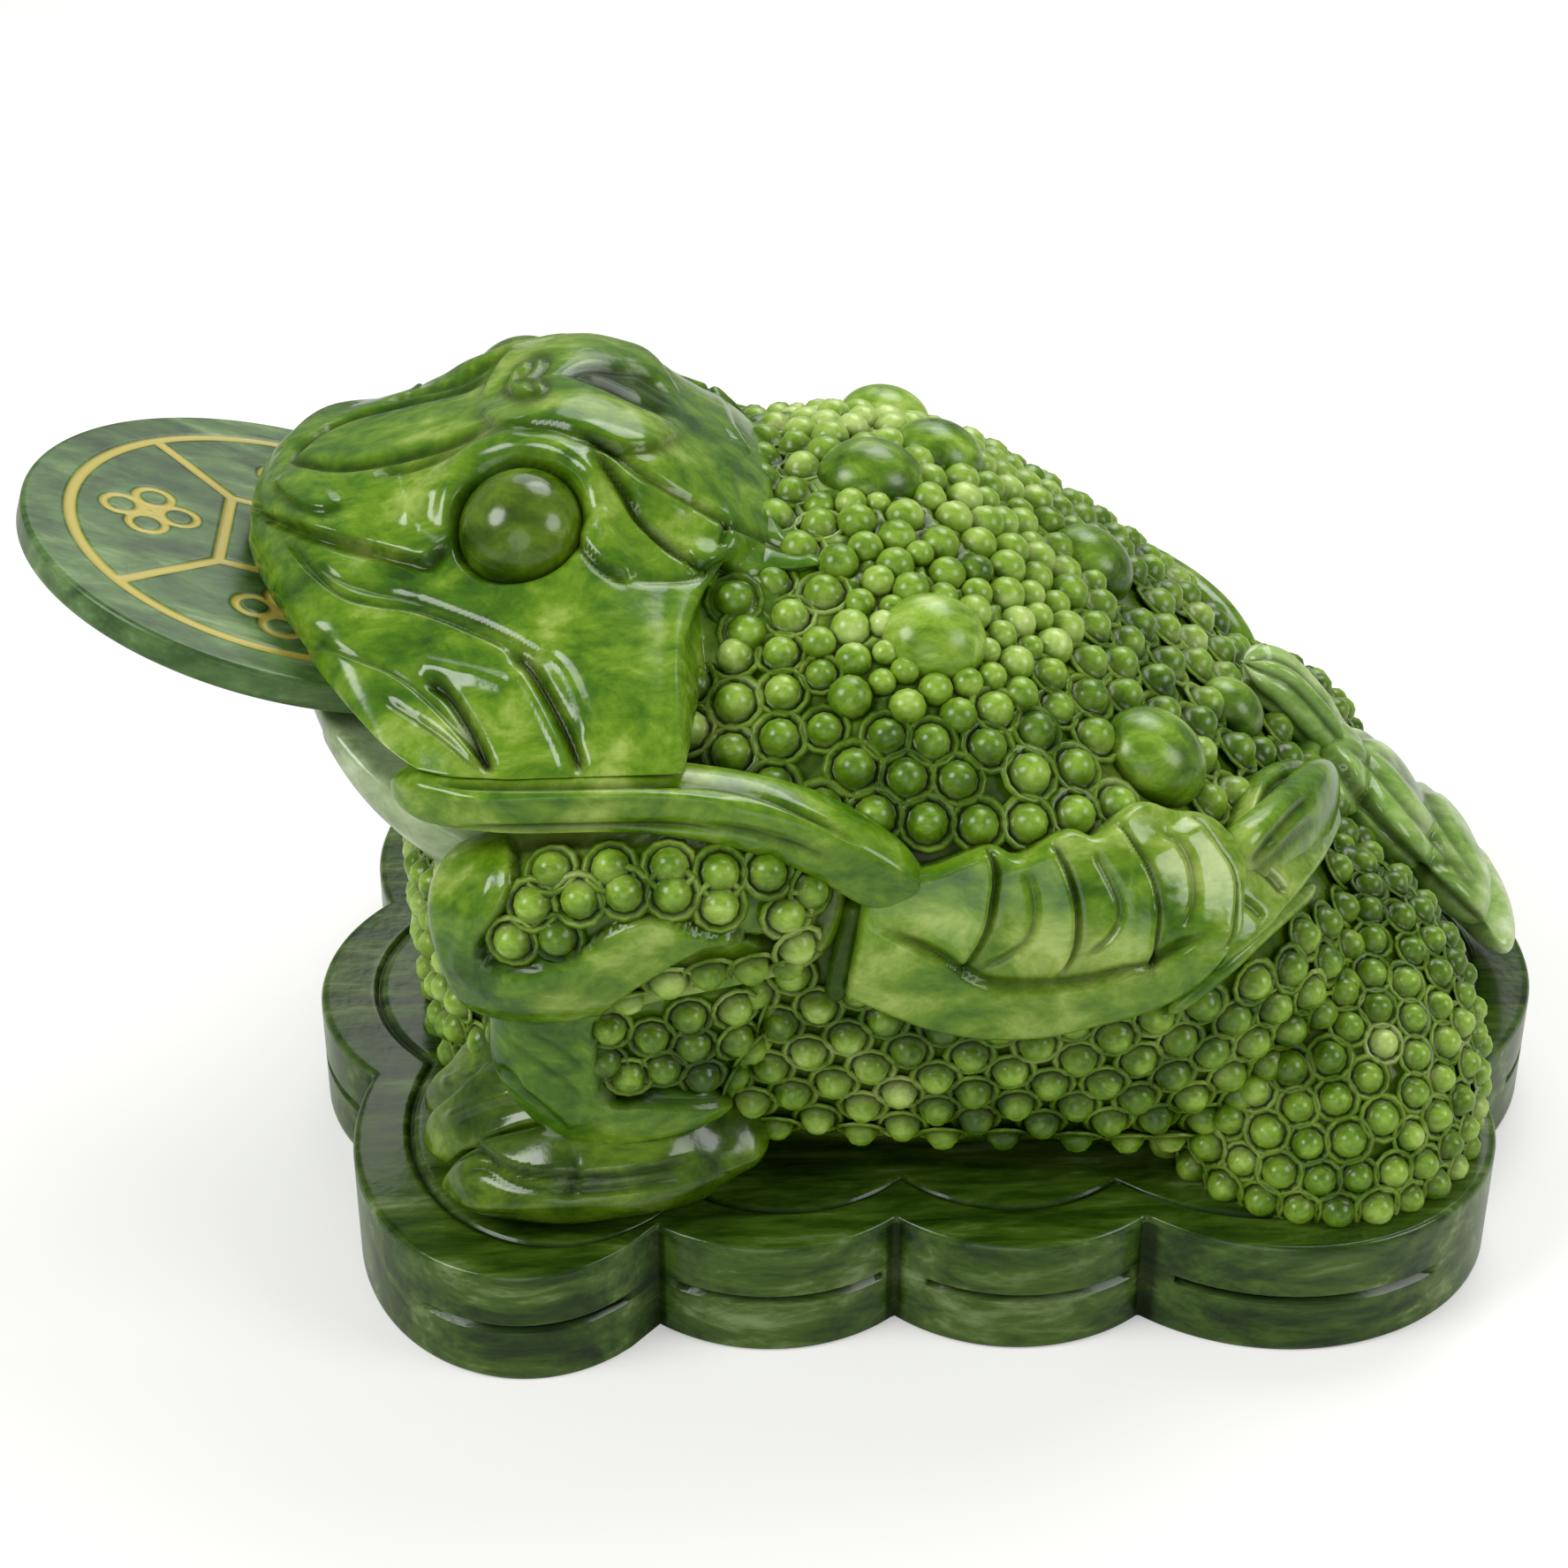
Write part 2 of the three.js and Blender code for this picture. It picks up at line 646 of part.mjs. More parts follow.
// Front foot with three toes
function footForm() {
  const z = SEAT + FOOT_HEIGHT / 2 - 1;
  const rows = [
    { x: 6, out: 0.75, rise: -2, wide: 0.75, tall: 0.75 },
    { x: 18, out: 0.8, rise: 0, wide: 1, tall: 0.95 },
    { x: 35, out: 0.8, rise: 1, wide: 1, tall: 1 },
    { x: 54, out: 0.75, rise: 2, wide: 0.75, tall: 0.85 },
  ];
  return limb(
    rows.map(({ x, out, rise, wide, tall }) => ({
      at: point(BODY_FRONT + x, BODY_HALF_WIDTH * out, z + rise),
      wide: FOOT_WIDTH * wide,
      tall: FOOT_HEIGHT * tall,
    })),
    UP,
    8,
    8,
  );
}

function toeForms() {
  return [0.63, 0.75, 0.87].map((out, i) =>
    ellipsoid(
      point(BODY_FRONT + 6 + i * 2, BODY_HALF_WIDTH * out, SEAT + TOE_RADIUS * 0.9),
      new THREE.Vector3(TOE_RADIUS * 3.6, TOE_RADIUS * 2, TOE_RADIUS * 2),
      5,
      6,
    ),
  );
}

// Thigh: an egg whose top leans in to the trunk
function thighForm() {
  const center = point(BODY_REAR - 26, BODY_HALF_WIDTH * 0.6, PLINTH_HEIGHT + 10.5);
  const form = ellipsoid(center, new THREE.Vector3(THIGH_LENGTH, THIGH_WIDTH, THIGH_HEIGHT), 12, 18);
  const position = form.getAttribute("position");
  for (let i = 0; i < position.count; i += 1) {
    position.setY(i, position.getY(i) - LEFT * THIGH_LEAN * (position.getZ(i) - center.z));
    position.setZ(i, Math.max(position.getZ(i), SEAT));
  }
  return form;
}

// Path of the coin string along the flank, from the collar's end up to the ribbon
const STRING_ROWS = [
  { x: 64, z: 52, wide: 0.8, tall: 0.85 },
  { x: 83, z: 49.5, wide: 1, tall: 1 },
  { x: 95, z: 48, wide: 1, tall: 1 },
  { x: 108, z: 49, wide: 1, tall: 0.95 },
  { x: 120, z: 50.5, wide: 1, tall: 0.7 },
  { x: 130, z: 51, wide: 0.9, tall: 0.55 },
  { x: 141, z: 45.5, wide: 0.7, tall: 0.45 },
];

function stringForm(drop = 0) {
  return limb(
    STRING_ROWS.map(({ x, z, wide, tall }) => ({
      at: point(
        BODY_FRONT + x,
        flank(BODY_FRONT + x, PLINTH_HEIGHT + z - drop) + 1,
        PLINTH_HEIGHT + z - drop,
      ),
      wide: STRING_THICKNESS * wide,
      tall: STRING_HEIGHT * tall,
    })),
    UP,
    10,
    8,
  );
}

// Overlapping coins on the string, each leaning on the next
function stringCoins(drop = 0) {
  const coins = [];
  const lift = profile(STRING_ROWS.map(({ x, z }) => [x, z]));
  const first = STRING_ROWS[0].x + 10;
  const pitch = (STRING_ROWS[STRING_ROWS.length - 1].x - 25 - first) / (STRING_COIN_COUNT - 1);
  for (let i = 0; i < STRING_COIN_COUNT; i += 1) {
    const at = first + i * pitch;
    const x = BODY_FRONT + at;
    const z = PLINTH_HEIGHT + lift(at) - drop;
    const radius = STRING_COIN_RADIUS;
    const coin = new THREE.CylinderGeometry(radius, radius, STRING_COIN_THICKNESS, 12);
    const slope = Math.atan2(flank(x + 4, z) - flank(x - 4, z), 8);
    coin.rotateZ(STRING_COIN_LEAN + LEFT * slope);
    const out = flank(x, z) + STRING_THICKNESS / 2 - 0.8;
    const place = point(x, out, z);
    coin.translate(place.x, place.y, place.z);
    coins.push(coin);
  }
  return coins;
}

function tailForm() {
  const rows = [
    { x: -24, z: 41.5, wide: 0.72, tall: 0.95 },
    { x: -12, z: 33, wide: 0.83, tall: 1 },
    { x: 2, z: 20.5, wide: 0.94, tall: 0.95 },
    { x: 15.5, z: 5.5, wide: 0.94, tall: 0.62 },
  ];
  return limb(
    rows.map(({ x, z, wide, tall }) => ({
      at: new THREE.Vector3(BODY_REAR + x, 0, PLINTH_HEIGHT + z),
      wide: TAIL_WIDTH * wide,
      tall: TAIL_THICKNESS * tall,
    })),
    UP,
    9,
    10,
  );
}

// Ribbon knot: a band that hangs over the root of the third leg, held by a tie
function knotForms() {
  const rows = [
    { x: -31, rise: 2, wide: 0.8, tall: 0.75 },
    { x: -26, rise: 4, wide: 1, tall: 1 },
    { x: -21, rise: 4.4, wide: 1, tall: 1 },
    { x: -15.5, rise: 4, wide: 0.75, tall: 0.75 },
  ];
  const band = limb(
    rows.map(({ x, rise, wide, tall }) => ({
      at: new THREE.Vector3(BODY_REAR + x, 0, backHeight(BODY_REAR + x, 0) + rise),
      wide: KNOT_WIDTH * wide,
      tall: KNOT_THICKNESS * tall,
    })),
    UP,
    8,
    8,
  );
  return [band];
}

// Seven large warts, as offsets from the trunk's front and from its middle line
const WARTS = [
  { x: 73, y: -3, size: 1 },
  { x: 85, y: 13, size: 0.92 },
  { x: 108, y: 2, size: 0.92 },
  { x: 79, y: -38, size: 0.95 },
  { x: 111, y: -42, size: 1.05 },
  { x: 128, y: -15, size: 0.72 },
  { x: 79, y: 38, size: 0.95 },
];

// Low dome that lies square to the back
function wartForm({ x, y, size }) {
  const at = BODY_FRONT + x;
  const radius = WART_RADIUS * size;
  const slopeX = (backHeight(at + 1, y) - backHeight(at - 1, y)) / 2;
  const slopeY = (backHeight(at, y + 1) - backHeight(at, y - 1)) / 2;
  const out = new THREE.Vector3(-slopeX, -slopeY, 1).normalize();
  const dome = ellipsoid(new THREE.Vector3(), new THREE.Vector3(2, 2, 2), 7, 12);
  dome.rotateX(Math.PI / 2);
  dome.scale(1.08 * radius, radius, WART_RISE * radius);
  dome.applyQuaternion(new THREE.Quaternion().setFromUnitVectors(UP, out));
  const place = new THREE.Vector3(at, y, backHeight(at, y) - WART_SINK).addScaledVector(out, -0.12 * radius);
  dome.translate(place.x, place.y, place.z);
  return dome;
}

// Bead on a skin given by two directions, kept only where it clears the other members
function addBead(beads, at, alongU, alongV, inside, others) {
  const out = new THREE.Vector3().crossVectors(alongU, alongV).normalize();
  if (out.dot(new THREE.Vector3().subVectors(at, inside)) < 0) out.negate();
  const bead = new THREE.IcosahedronGeometry(BEAD_RADIUS, 1);
  const place = at.clone().addScaledVector(out, -BEAD_SINK);
  bead.translate(place.x, place.y, place.z);
  if (others.intersect(toSolid(bead)).isEmpty()) beads.push(bead);
}

// Main beads of the trunk: staggered rows across it, at equal turns
function bodyBeads(others) {
  const beads = [];
  const span = (x, turn) => bodyPoint(x, (turn + 1) % 1, new THREE.Vector3());
  for (let row = 0; BODY_FRONT + 51 + row * BEAD_PITCH * 0.87 < BODY_REAR - 8; row += 1) {
    const x = BODY_FRONT + 51 + row * BEAD_PITCH * 0.87;
    const { half, top, waist } = bodyStation(x);
    const step = BEAD_PITCH / (Math.PI * (half + top - waist));
    const count = Math.floor(0.37 / step);
    for (let k = -count; k <= count; k += 1) {
      const turn = (k + (row % 2) * 0.5) * step;
      const at = span(x, turn);
      const alongU = span(x + 1, turn).sub(span(x - 1, turn));
      const alongV = span(x, turn + 0.01).sub(span(x, turn - 0.01));
      if (at.z > SEAT + 6) addBead(beads, at, alongU, alongV, new THREE.Vector3(x, 0, waist), others);
    }
  }
  return beads;
}

// Main beads of the left thigh: rows at equal polar angles of the egg
function thighBeads(others) {
  const beads = [];
  const center = point(BODY_REAR - 26, BODY_HALF_WIDTH * 0.6, PLINTH_HEIGHT + 10.5);
  const skin = (polar, turn) => {
    const z = (Math.cos(polar) * THIGH_HEIGHT) / 2;
    const x = (Math.sin(polar) * Math.cos(turn) * THIGH_LENGTH) / 2;
    const y = (Math.sin(polar) * Math.sin(turn) * THIGH_WIDTH) / 2 - LEFT * THIGH_LEAN * z;
    return new THREE.Vector3(x, y, z).add(center);
  };
  [30, 62, 94].forEach((degrees, row) => {
    const polar = THREE.MathUtils.degToRad(degrees);
    const count = Math.round((Math.PI * THIGH_LENGTH * Math.sin(polar)) / BEAD_PITCH);
    for (let k = 0; k < count; k += 1) {
      const turn = (2 * Math.PI * (k + (row % 2) * 0.5)) / count;
      const alongU = skin(polar + 0.02, turn).sub(skin(polar - 0.02, turn));
      const alongV = skin(polar, turn + 0.02).sub(skin(polar, turn - 0.02));
      addBead(beads, skin(polar, turn), alongU, alongV, center, others);
    }
  });
  return beads;
}

const jade = new THREE.MeshStandardMaterial({ color: 0x4f7d22, roughness: 0.22, metalness: 0 });
const paleJade = new THREE.MeshStandardMaterial({ color: 0x7c9a48, roughness: 0.22, metalness: 0 });
const darkJade = new THREE.MeshStandardMaterial({ color: 0x35591c, roughness: 0.2, metalness: 0 });
const coinJade = new THREE.MeshStandardMaterial({ color: 0x4c6a42, roughness: 0.3, metalness: 0 });

const toad = new THREE.Group();
toad.name = "money_toad";

function addMesh(parent, name, solid, material) {
  const mesh = new THREE.Mesh(toGeometry(solid), material);
  mesh.name = name;
  parent.add(mesh);
  return mesh;
}

function joined(forms) {
  return forms.map(toSolid).reduce((sum, part) => sum.add(part));
}

const seatCutter = toSolid(new THREE.BoxGeometry(2 * PLINTH_LENGTH, 2 * PLINTH_WIDTH, 2 * SEAT));
const body = bodyForm();
const head = headForm();
const jaw = jawForm();
const tail = tailForm();
const collar = collarForm();
const arm = armForm();
const forearm = forearmForm();
const thigh = thighForm();
const eye = eyeForm();
const eyelid = eyelidForm();
const string = stringForm();
const farString = mirrored(stringForm(FAR_STRING_DROP));
const knots = knotForms();
const foot = [footForm(), ...toeForms()];
const coins = stringCoins();
const farCoins = stringCoins(FAR_STRING_DROP).map(mirrored);
const warts = WARTS.map(wartForm);
const middleForms = [body, head, jaw, tail];
const sideForms = [collar, arm, forearm, ...foot];
const strings = [string, farString, ...coins, ...farCoins];
const clearOf = (forms) => joined(forms.map((form) => swollen(form, 2 * BOND_GAP)));
const middle = clearOf([head, jaw, tail, ...knots, ...warts, ...strings]);
const sides = middle.add(clearOf([...sideForms, ...sideForms.map(mirrored)]));
const trunkBeads = bodyBeads(sides.add(clearOf([thigh, mirrored(thigh)])));
const hipBeads = thighBeads(sides.add(clearOf([body])));

// Member of the left side and its mirror image, each cut by what it meets on its own side
function addPair(name, forms, neighbours, material, farForms = forms.map(mirrored)) {
  addMesh(toad, `left_${name}`, carve(joined(forms), neighbours, [seatCutter]), material);
  const others = neighbours.map((form) => (middleForms.includes(form) ? form : mirrored(form)));
  addMesh(toad, `right_${name}`, carve(joined(farForms), others, [seatCutter]), material);
}

addMesh(toad, "plinth", makePlinth(), jade);
addMesh(toad, "body", carve(joined([body, ...trunkBeads]), [], [mouthSlot()]), jade);
addMesh(toad, "head", carve(head, [body]), jade);
addMesh(toad, "lower_jaw", carve(jaw, [body]), paleJade);
addPair("eye", [eye], [head], darkJade);
addPair("eyelid", [eyelid], [head, eye], jade);
addPair("brow", [browForm()], [head, eye, eyelid], jade);
addPair("collar", [collar], [body, head, jaw], paleJade);
addPair("upper_arm", [arm], [body, jaw, collar], jade);
addPair("forearm", [forearm], [body, arm], jade);
addPair("front_foot", foot, [body, forearm, arm], jade);
addPair("thigh", [thigh, ...hipBeads], [body], jade);
addPair(
  "coin_string",
  [string, ...coins],
  [body, collar, arm, thigh, tail],
  paleJade,
  [farString, ...farCoins],
);
addMesh(toad, "tail_leg", carve(tail, [body, thigh, mirrored(thigh)], [seatCutter]), jade);
addMesh(toad, "tail_knot", carve(joined(knots), [body, tail, string, farString]), paleJade);
warts.forEach((wart, i) => {
  addMesh(toad, `wart_${i + 1}`, carve(wart, [body, head, string, farString, ...knots]), darkJade);
});

const coinPlace = new THREE.Group();
coinPlace.name = "coin_place";
const coinDrop = (COIN_TOP_ROOM + COIN_THICKNESS / 2) / Math.cos(MOUTH_TILT);
coinPlace.position.set(COIN_X, 0, lipPlane(COIN_X) - coinDrop);
coinPlace.rotation.y = MOUTH_TILT;
toad.add(coinPlace);
addMesh(coinPlace, "coin", makeCoin(), coinJade);

export default toad;
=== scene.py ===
import math
import bmesh
import bpy
import numpy as np
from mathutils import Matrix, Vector


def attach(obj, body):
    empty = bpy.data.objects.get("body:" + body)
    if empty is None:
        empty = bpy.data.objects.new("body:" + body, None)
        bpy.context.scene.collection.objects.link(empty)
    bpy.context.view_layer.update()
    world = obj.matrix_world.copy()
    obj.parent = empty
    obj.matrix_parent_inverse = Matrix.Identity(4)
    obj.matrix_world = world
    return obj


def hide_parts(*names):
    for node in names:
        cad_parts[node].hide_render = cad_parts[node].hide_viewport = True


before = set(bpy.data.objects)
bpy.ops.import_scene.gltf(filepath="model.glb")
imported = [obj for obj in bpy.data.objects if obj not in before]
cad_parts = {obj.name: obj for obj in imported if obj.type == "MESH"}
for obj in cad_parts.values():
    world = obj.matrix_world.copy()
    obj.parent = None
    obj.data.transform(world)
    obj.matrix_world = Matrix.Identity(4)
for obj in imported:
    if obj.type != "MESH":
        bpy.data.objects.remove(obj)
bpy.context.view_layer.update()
mm = 0.001
rng = np.random.default_rng(5)

# the photo's viewpoint: degrees, photo pixels and millimetres
photoView = {
    "elevation": 31.0,
    "azimuth": -3.7,
    "focal": 3389.0,
    "frame": 1775.0,
    "place": (-50.3, -408.5, 297.2),
    "pxPerMm": 7.25,  # on the toad's near side
}
viewTilt, viewTurn = math.radians(photoView["elevation"]), math.radians(photoView["azimuth"])
viewBack = np.array([
    math.sin(viewTurn) * math.cos(viewTilt), -math.cos(viewTurn) * math.cos(viewTilt), math.sin(viewTilt)])
viewRight = np.array([math.cos(viewTurn), math.sin(viewTurn), 0.0])
viewUp = np.cross(viewBack, viewRight)
viewPlace = np.array(photoView["place"])
datum = 4.0  # heights in this script start here, so that the floor lies at -4
seat = 15.75  # where the carved members stand on the plinth


# smooth step: 3t^2 - 2t^3 between 0 and 1
def ramp(t):
    t = np.clip(t, 0.0, 1.0)
    return t * t * (3 - 2 * t)


# power that keeps the sign, for superellipses
def signedPower(value, power):
    return np.sign(value) * np.abs(value) ** power


# cubic Hermite curve through (position, value) rows, tangents by harmonic mean so that it never overshoots
def alongTable(rows, at):
    x, y = np.array(rows, float).T
    slope = np.diff(y) / np.diff(x)
    product = slope[:-1] * slope[1:]
    total = np.where(product > 0, slope[:-1] + slope[1:], 1.0)
    tangent = np.concatenate([slope[:1], np.where(product > 0, 2 * product / total, 0.0), slope[-1:]])
    k = np.clip(np.searchsorted(x, at) - 1, 0, len(x) - 2)
    span = x[k + 1] - x[k]
    q = np.clip((at - x[k]) / span, 0, 1)
    start = (2 * q**3 - 3 * q**2 + 1) * y[k] + (q**3 - 2 * q**2 + q) * span * tangent[k]
    return start + (3 * q**2 - 2 * q**3) * y[k + 1] + (q**3 - q**2) * span * tangent[k + 1]


# Catmull-Rom curve through points, equal share of u for each span
def alongPath(points, u):
    points = np.array(points, float)
    ends = np.concatenate([2 * points[:1] - points[1:2], points, 2 * points[-1:] - points[-2:-1]])
    at = np.clip(np.asarray(u, float), 0, 1) * (len(points) - 1)
    k = np.minimum(at.astype(int), len(points) - 2)
    q = (at - k)[:, None]
    a, b, c, d = ends[k], ends[k + 1], ends[k + 2], ends[k + 3]
    return 0.5 * (2 * b + (c - a) * q + (2 * a - 5 * b + 4 * c - d) * q**2 + (3 * b - a - 3 * c + d) * q**3)


# even turns of a circle in radians, the first not repeated
def circle(count):
    return np.arange(count) / count * 2 * np.pi


# vectors over their lengths
def toUnit(v):
    return v / np.maximum(np.linalg.norm(v, axis=-1, keepdims=True), 1e-9)


# -1 for points of the far half, which are looked at in their mirror image, and 1 for the near half
def nearSign(p):
    return np.where(p[..., 1] > 0, -1.0, 1.0)


# near-side mirror image of points or normals
def nearSide(p, sign):
    return np.stack([p[..., 0], p[..., 1] * sign, p[..., 2]], -1)


# rays from the viewpoint through photo pixels: across, up and one focal length ahead
def photoRays(pixels):
    half, focal = photoView["frame"] / 2, photoView["focal"]
    return (pixels[:, :1] - half) * viewRight + (half - pixels[:, 1:]) * viewUp - focal * viewBack


# perspective picture, in photo pixels, of each point or of its mirror image on the near side
def toPhoto(p):
    near = nearSide(p, nearSign(p)) - viewPlace
    depth = -(near @ viewBack)
    half, focal = photoView["frame"] / 2, photoView["focal"]
    return np.stack([half + focal * (near @ viewRight) / depth, half - focal * (near @ viewUp) / depth], -1)


# cosine between each normal and the line to the viewpoint, mirrored like toPhoto
def facing(p, n):
    sign = nearSign(p)
    return (nearSide(n, sign) * toUnit(viewPlace - nearSide(p, sign))).sum(-1)


# unit normals of a grid: cross product of its two differences, turned away from the row middles
def gridNormals(p, wrap=True):
    du = np.gradient(p, axis=0)
    dv = np.roll(p, -1, 1) - np.roll(p, 1, 1) if wrap else np.gradient(p, axis=1)
    n = toUnit(np.cross(du, dv))
    return n * np.sign((n * (p - p.mean(1, keepdims=True))).sum())


# a thinned grid is enough to cast on; the tangent plane is left where it is met more than slip mm from its vertex
castRule = {"vertices": 5000, "nearY": 0.5, "minFacing": 0.05, "slip": 4.0}


# points of a grid's surface seen at photo pixels: nearest facing vertex, then its tangent plane met by the ray
def castOnGrid(p, n, pixels):
    rule, pixels = castRule, np.array(pixels, float)
    step = max(1, int(math.sqrt(p.shape[0] * p.shape[1] / rule["vertices"])))
    p, n = p[::step, ::step], n[::step, ::step]
    seen = ((p[..., 1] <= rule["nearY"]) & (facing(p, n) > rule["minFacing"])).ravel()
    spots, verts, normals = toPhoto(p).reshape(-1, 2)[seen], p.reshape(-1, 3)[seen], n.reshape(-1, 3)[seen]
    best = ((pixels[:, None, :] - spots[None]) ** 2).sum(-1).argmin(1)
    v, m = verts[best], normals[best]
    ray = photoRays(pixels)
    reach = ((v - viewPlace) * m).sum(-1) / (ray * m).sum(-1)
    spot = viewPlace + reach[:, None] * ray
    slip = np.linalg.norm(spot - v, axis=-1, keepdims=True)
    return np.where(slip < rule["slip"], spot, v), m


# distance to a polyline in pixels, which side of it, and how far along it
def lineOffset(at, line):
    best = np.full(len(at), 1e9)
    side, share = np.zeros(len(at)), np.zeros(len(at))
    steps = np.linalg.norm(np.diff(line, axis=0), axis=1)
    reach = np.concatenate([[0], np.cumsum(steps)]) / steps.sum()
    for a, b, s0, s1 in zip(line[:-1], line[1:], reach[:-1], reach[1:]):
        d = b - a
        t = np.clip(((at - a) @ d) / max(d @ d, 1e-9), 0, 1)
        gap = at - a - t[:, None] * d
        dist = np.hypot(gap[:, 0], gap[:, 1])
        closer = dist < best
        best = np.where(closer, dist, best)
        side = np.where(closer, np.sign(d[0] * gap[:, 1] - d[1] * gap[:, 0]), side)
        share = np.where(closer, s0 + t * (s1 - s0), share)
    return best, side, share


# even-odd test: is each pixel inside the closed line
def insideLine(at, line):
    inside = np.zeros(len(at), bool)
    for a, b in zip(line, np.roll(line, -1, 0)):
        crosses = (a[1] > at[:, 1]) != (b[1] > at[:, 1])
        rise = b[1] - a[1] if abs(b[1] - a[1]) > 1e-9 else 1e-9
        inside ^= crosses & (at[:, 0] < a[0] + (at[:, 1] - a[1]) * (b[0] - a[0]) / rise)
    return inside


# shares of a stroke's height or width: how it fades at its ends and where the skin turns away, how far the foot of a
# step lies outside and is cut, and how much painted shade each kind of stroke gets
chisel = {
    "steps": 6, "reach": 4, "endFade": 0.14, "turnAway": 0.02, "turnRun": 0.2, "footOut": 0.55, "footCut": 0.35,
    "fadeReach": 3, "shadeCap": 1.2, "grooveShade": 0.75, "foldShade": 0.55, "plateShade": 0.6,
}


# chisel work: strokes are lines in photo pixels that lift or sink the surface along its normal.
# groove and ridge follow exp(-(d/width)^2); fold is a step with a raised side that fades; plate is a raised field.
# a fold's row ends with the raised side's sign and its fade in mm
def carve(p, n, strokes):
    rule, scale = chisel, photoView["pxPerMm"]
    flat = toPhoto(p).reshape(-1, 2)
    mask = ramp((facing(p, n).ravel() - rule["turnAway"]) / rule["turnRun"])
    lift, paintedShade = np.zeros(len(flat)), np.zeros(len(flat))
    for kind, height, width, points, *more in strokes:
        sideSign, fade = more or (0, 0)
        closed = points + points[:1] if kind == "plate" else points
        line = alongPath(closed, np.linspace(0, 1, rule["steps"] * len(points) + 1))
        margin = (rule["reach"] * width + max(rule["fadeReach"] * fade, 1)) * scale
        within = ((flat > line.min(0) - margin) & (flat < line.max(0) + margin)).all(1)
        near = np.nonzero(within & (mask > 0))[0]
        if not len(near):
            continue
        off, side, share = lineOffset(flat[near], line)
        off /= scale
        ends = ramp(share / rule["endFade"]) * ramp((1 - share) / rule["endFade"])
        bell = np.exp(-((off / width) ** 2)) * ends
        # painted shade: grooves, and the feet of folds and plates, get a dark share in paintedShade
        shade = min(abs(height), rule["shadeCap"])
        if kind == "groove":
            lift[near] -= height * bell
            paintedShade[near] += rule["grooveShade"] * shade * bell
        elif kind == "ridge":
            lift[near] += height * bell
        elif kind == "fold":
            s = off * side * sideSign
            foot = np.exp(-(((s + rule["footOut"] * width) / width) ** 2)) * ends
            falling = np.clip(1 - s / (rule["fadeReach"] * fade), 0, 1) ** 2
            lift[near] += height * ramp(s / width + 0.5) * falling * ends
            lift[near] -= rule["footCut"] * height * foot
            paintedShade[near] += rule["foldShade"] * shade * foot
        else:
            s = np.where(insideLine(flat[near], line[:-1]), off, -off)
            lift[near] += height * ramp(s / width + 0.5)
            foot = np.exp(-(((s + np.sign(height) * rule["footOut"] * width) / width) ** 2))
            paintedShade[near] += rule["plateShade"] * shade * foot
    lift, paintedShade = (lift * mask).reshape(p.shape[:-1]), np.clip(paintedShade * mask, 0, 1).reshape(p.shape[:-1])
    return p + n * lift[..., None], paintedShade


# faces of a grid whose second direction is closed, with its shade and tint at each vertex
def gridBlock(p, paintedShade=None, tint=0.5):
    rows, cols = p.shape[:2]
    index = np.arange(rows * cols).reshape(rows, cols)
    after = np.roll(index, -1, 1)
    faces = np.stack([index[:-1], index[1:], after[1:], after[:-1]], -1).reshape(-1, 4)
    paintedShade = np.zeros(rows * cols) if paintedShade is None else paintedShade.ravel()
    return {"verts": p.reshape(-1, 3), "faces": faces.tolist(), "paintedShade": paintedShade, "tint": np.full(rows * cols, tint)}


# profiles of a bead in (radius, height, depth of shade): a plain dome, or a dome in a drilled ring
beadForms = {"round": 12, "top": 0.97, "bottom": -0.5,
             "plain": [(0.5, 0.86, 0.0), (0.82, 0.55, 0.05), (0.96, 0.22, 0.3), (1.0, -0.1, 0.8), (0.98, -0.5, 1.0)],
             "ringed": [(0.5, 0.84, 0.0), (0.88, 0.42, 0.25), (1.1, -0.2, 1.0), (1.32, 0.12, 0.3), (1.58, 0.0, 0.35)]}


# beads on their spots: the profile turned round each normal, times the bead's radius
def beadBlock(centers, normals, radii, tints, form="ringed"):
    count = beadForms["round"]
    turn = circle(count)
    r, h, shade = np.array(beadForms[form]).T[:, :, None]
    ring = np.stack([r * np.cos(turn), r * np.sin(turn), h + 0 * turn], -1)
    turned = np.concatenate([[[0, 0, beadForms["top"]]], ring.reshape(-1, 3), [[0, 0, beadForms["bottom"]]]])
    helper = np.where(np.abs(normals[:, :1]) < 0.8, [[1.0, 0, 0]], [[0, 1.0, 0]])
    a = toUnit(np.cross(normals, helper))
    axes = np.stack([a, np.cross(normals, a), normals], 1)
    verts = centers[:, None] + radii[:, None, None] * np.einsum("vk,nkc->nvc", turned, axes)
    last = len(turned) - 1
    pairs = [(i, (i + 1) % count) for i in range(count)]
    one = [[0, 1 + i, 1 + j] for i, j in pairs]
    one += [[k + i, k + count + i, k + count + j, k + j] for k in range(1, last - count, count) for i, j in pairs]
    one += [[last - count + i, last, last - count + j] for i, j in pairs]
    faces = [[k + n * len(turned) for k in face] for n in range(len(centers)) for face in one]
    # painted shade from the profile's third column: none at the top pole and full at the bottom pole
    paintedShade = np.tile(np.concatenate([[0.0], np.repeat(shade.ravel(), count), [1.0]]), len(centers))
    return {"verts": verts.reshape(-1, 3), "faces": faces, "paintedShade": paintedShade, "tint": np.repeat(tints, len(turned))}


# seeded share of lighter stone for each bead: a normal spread round a middle value
def beadTints(middle, spread, count, most=1.0):
    return np.clip(middle + spread * rng.standard_normal(count), 0, most)


chunk = 4000  # points that are measured against all others at a time
pitRule = {"start": 1.03, "run": 0.3}


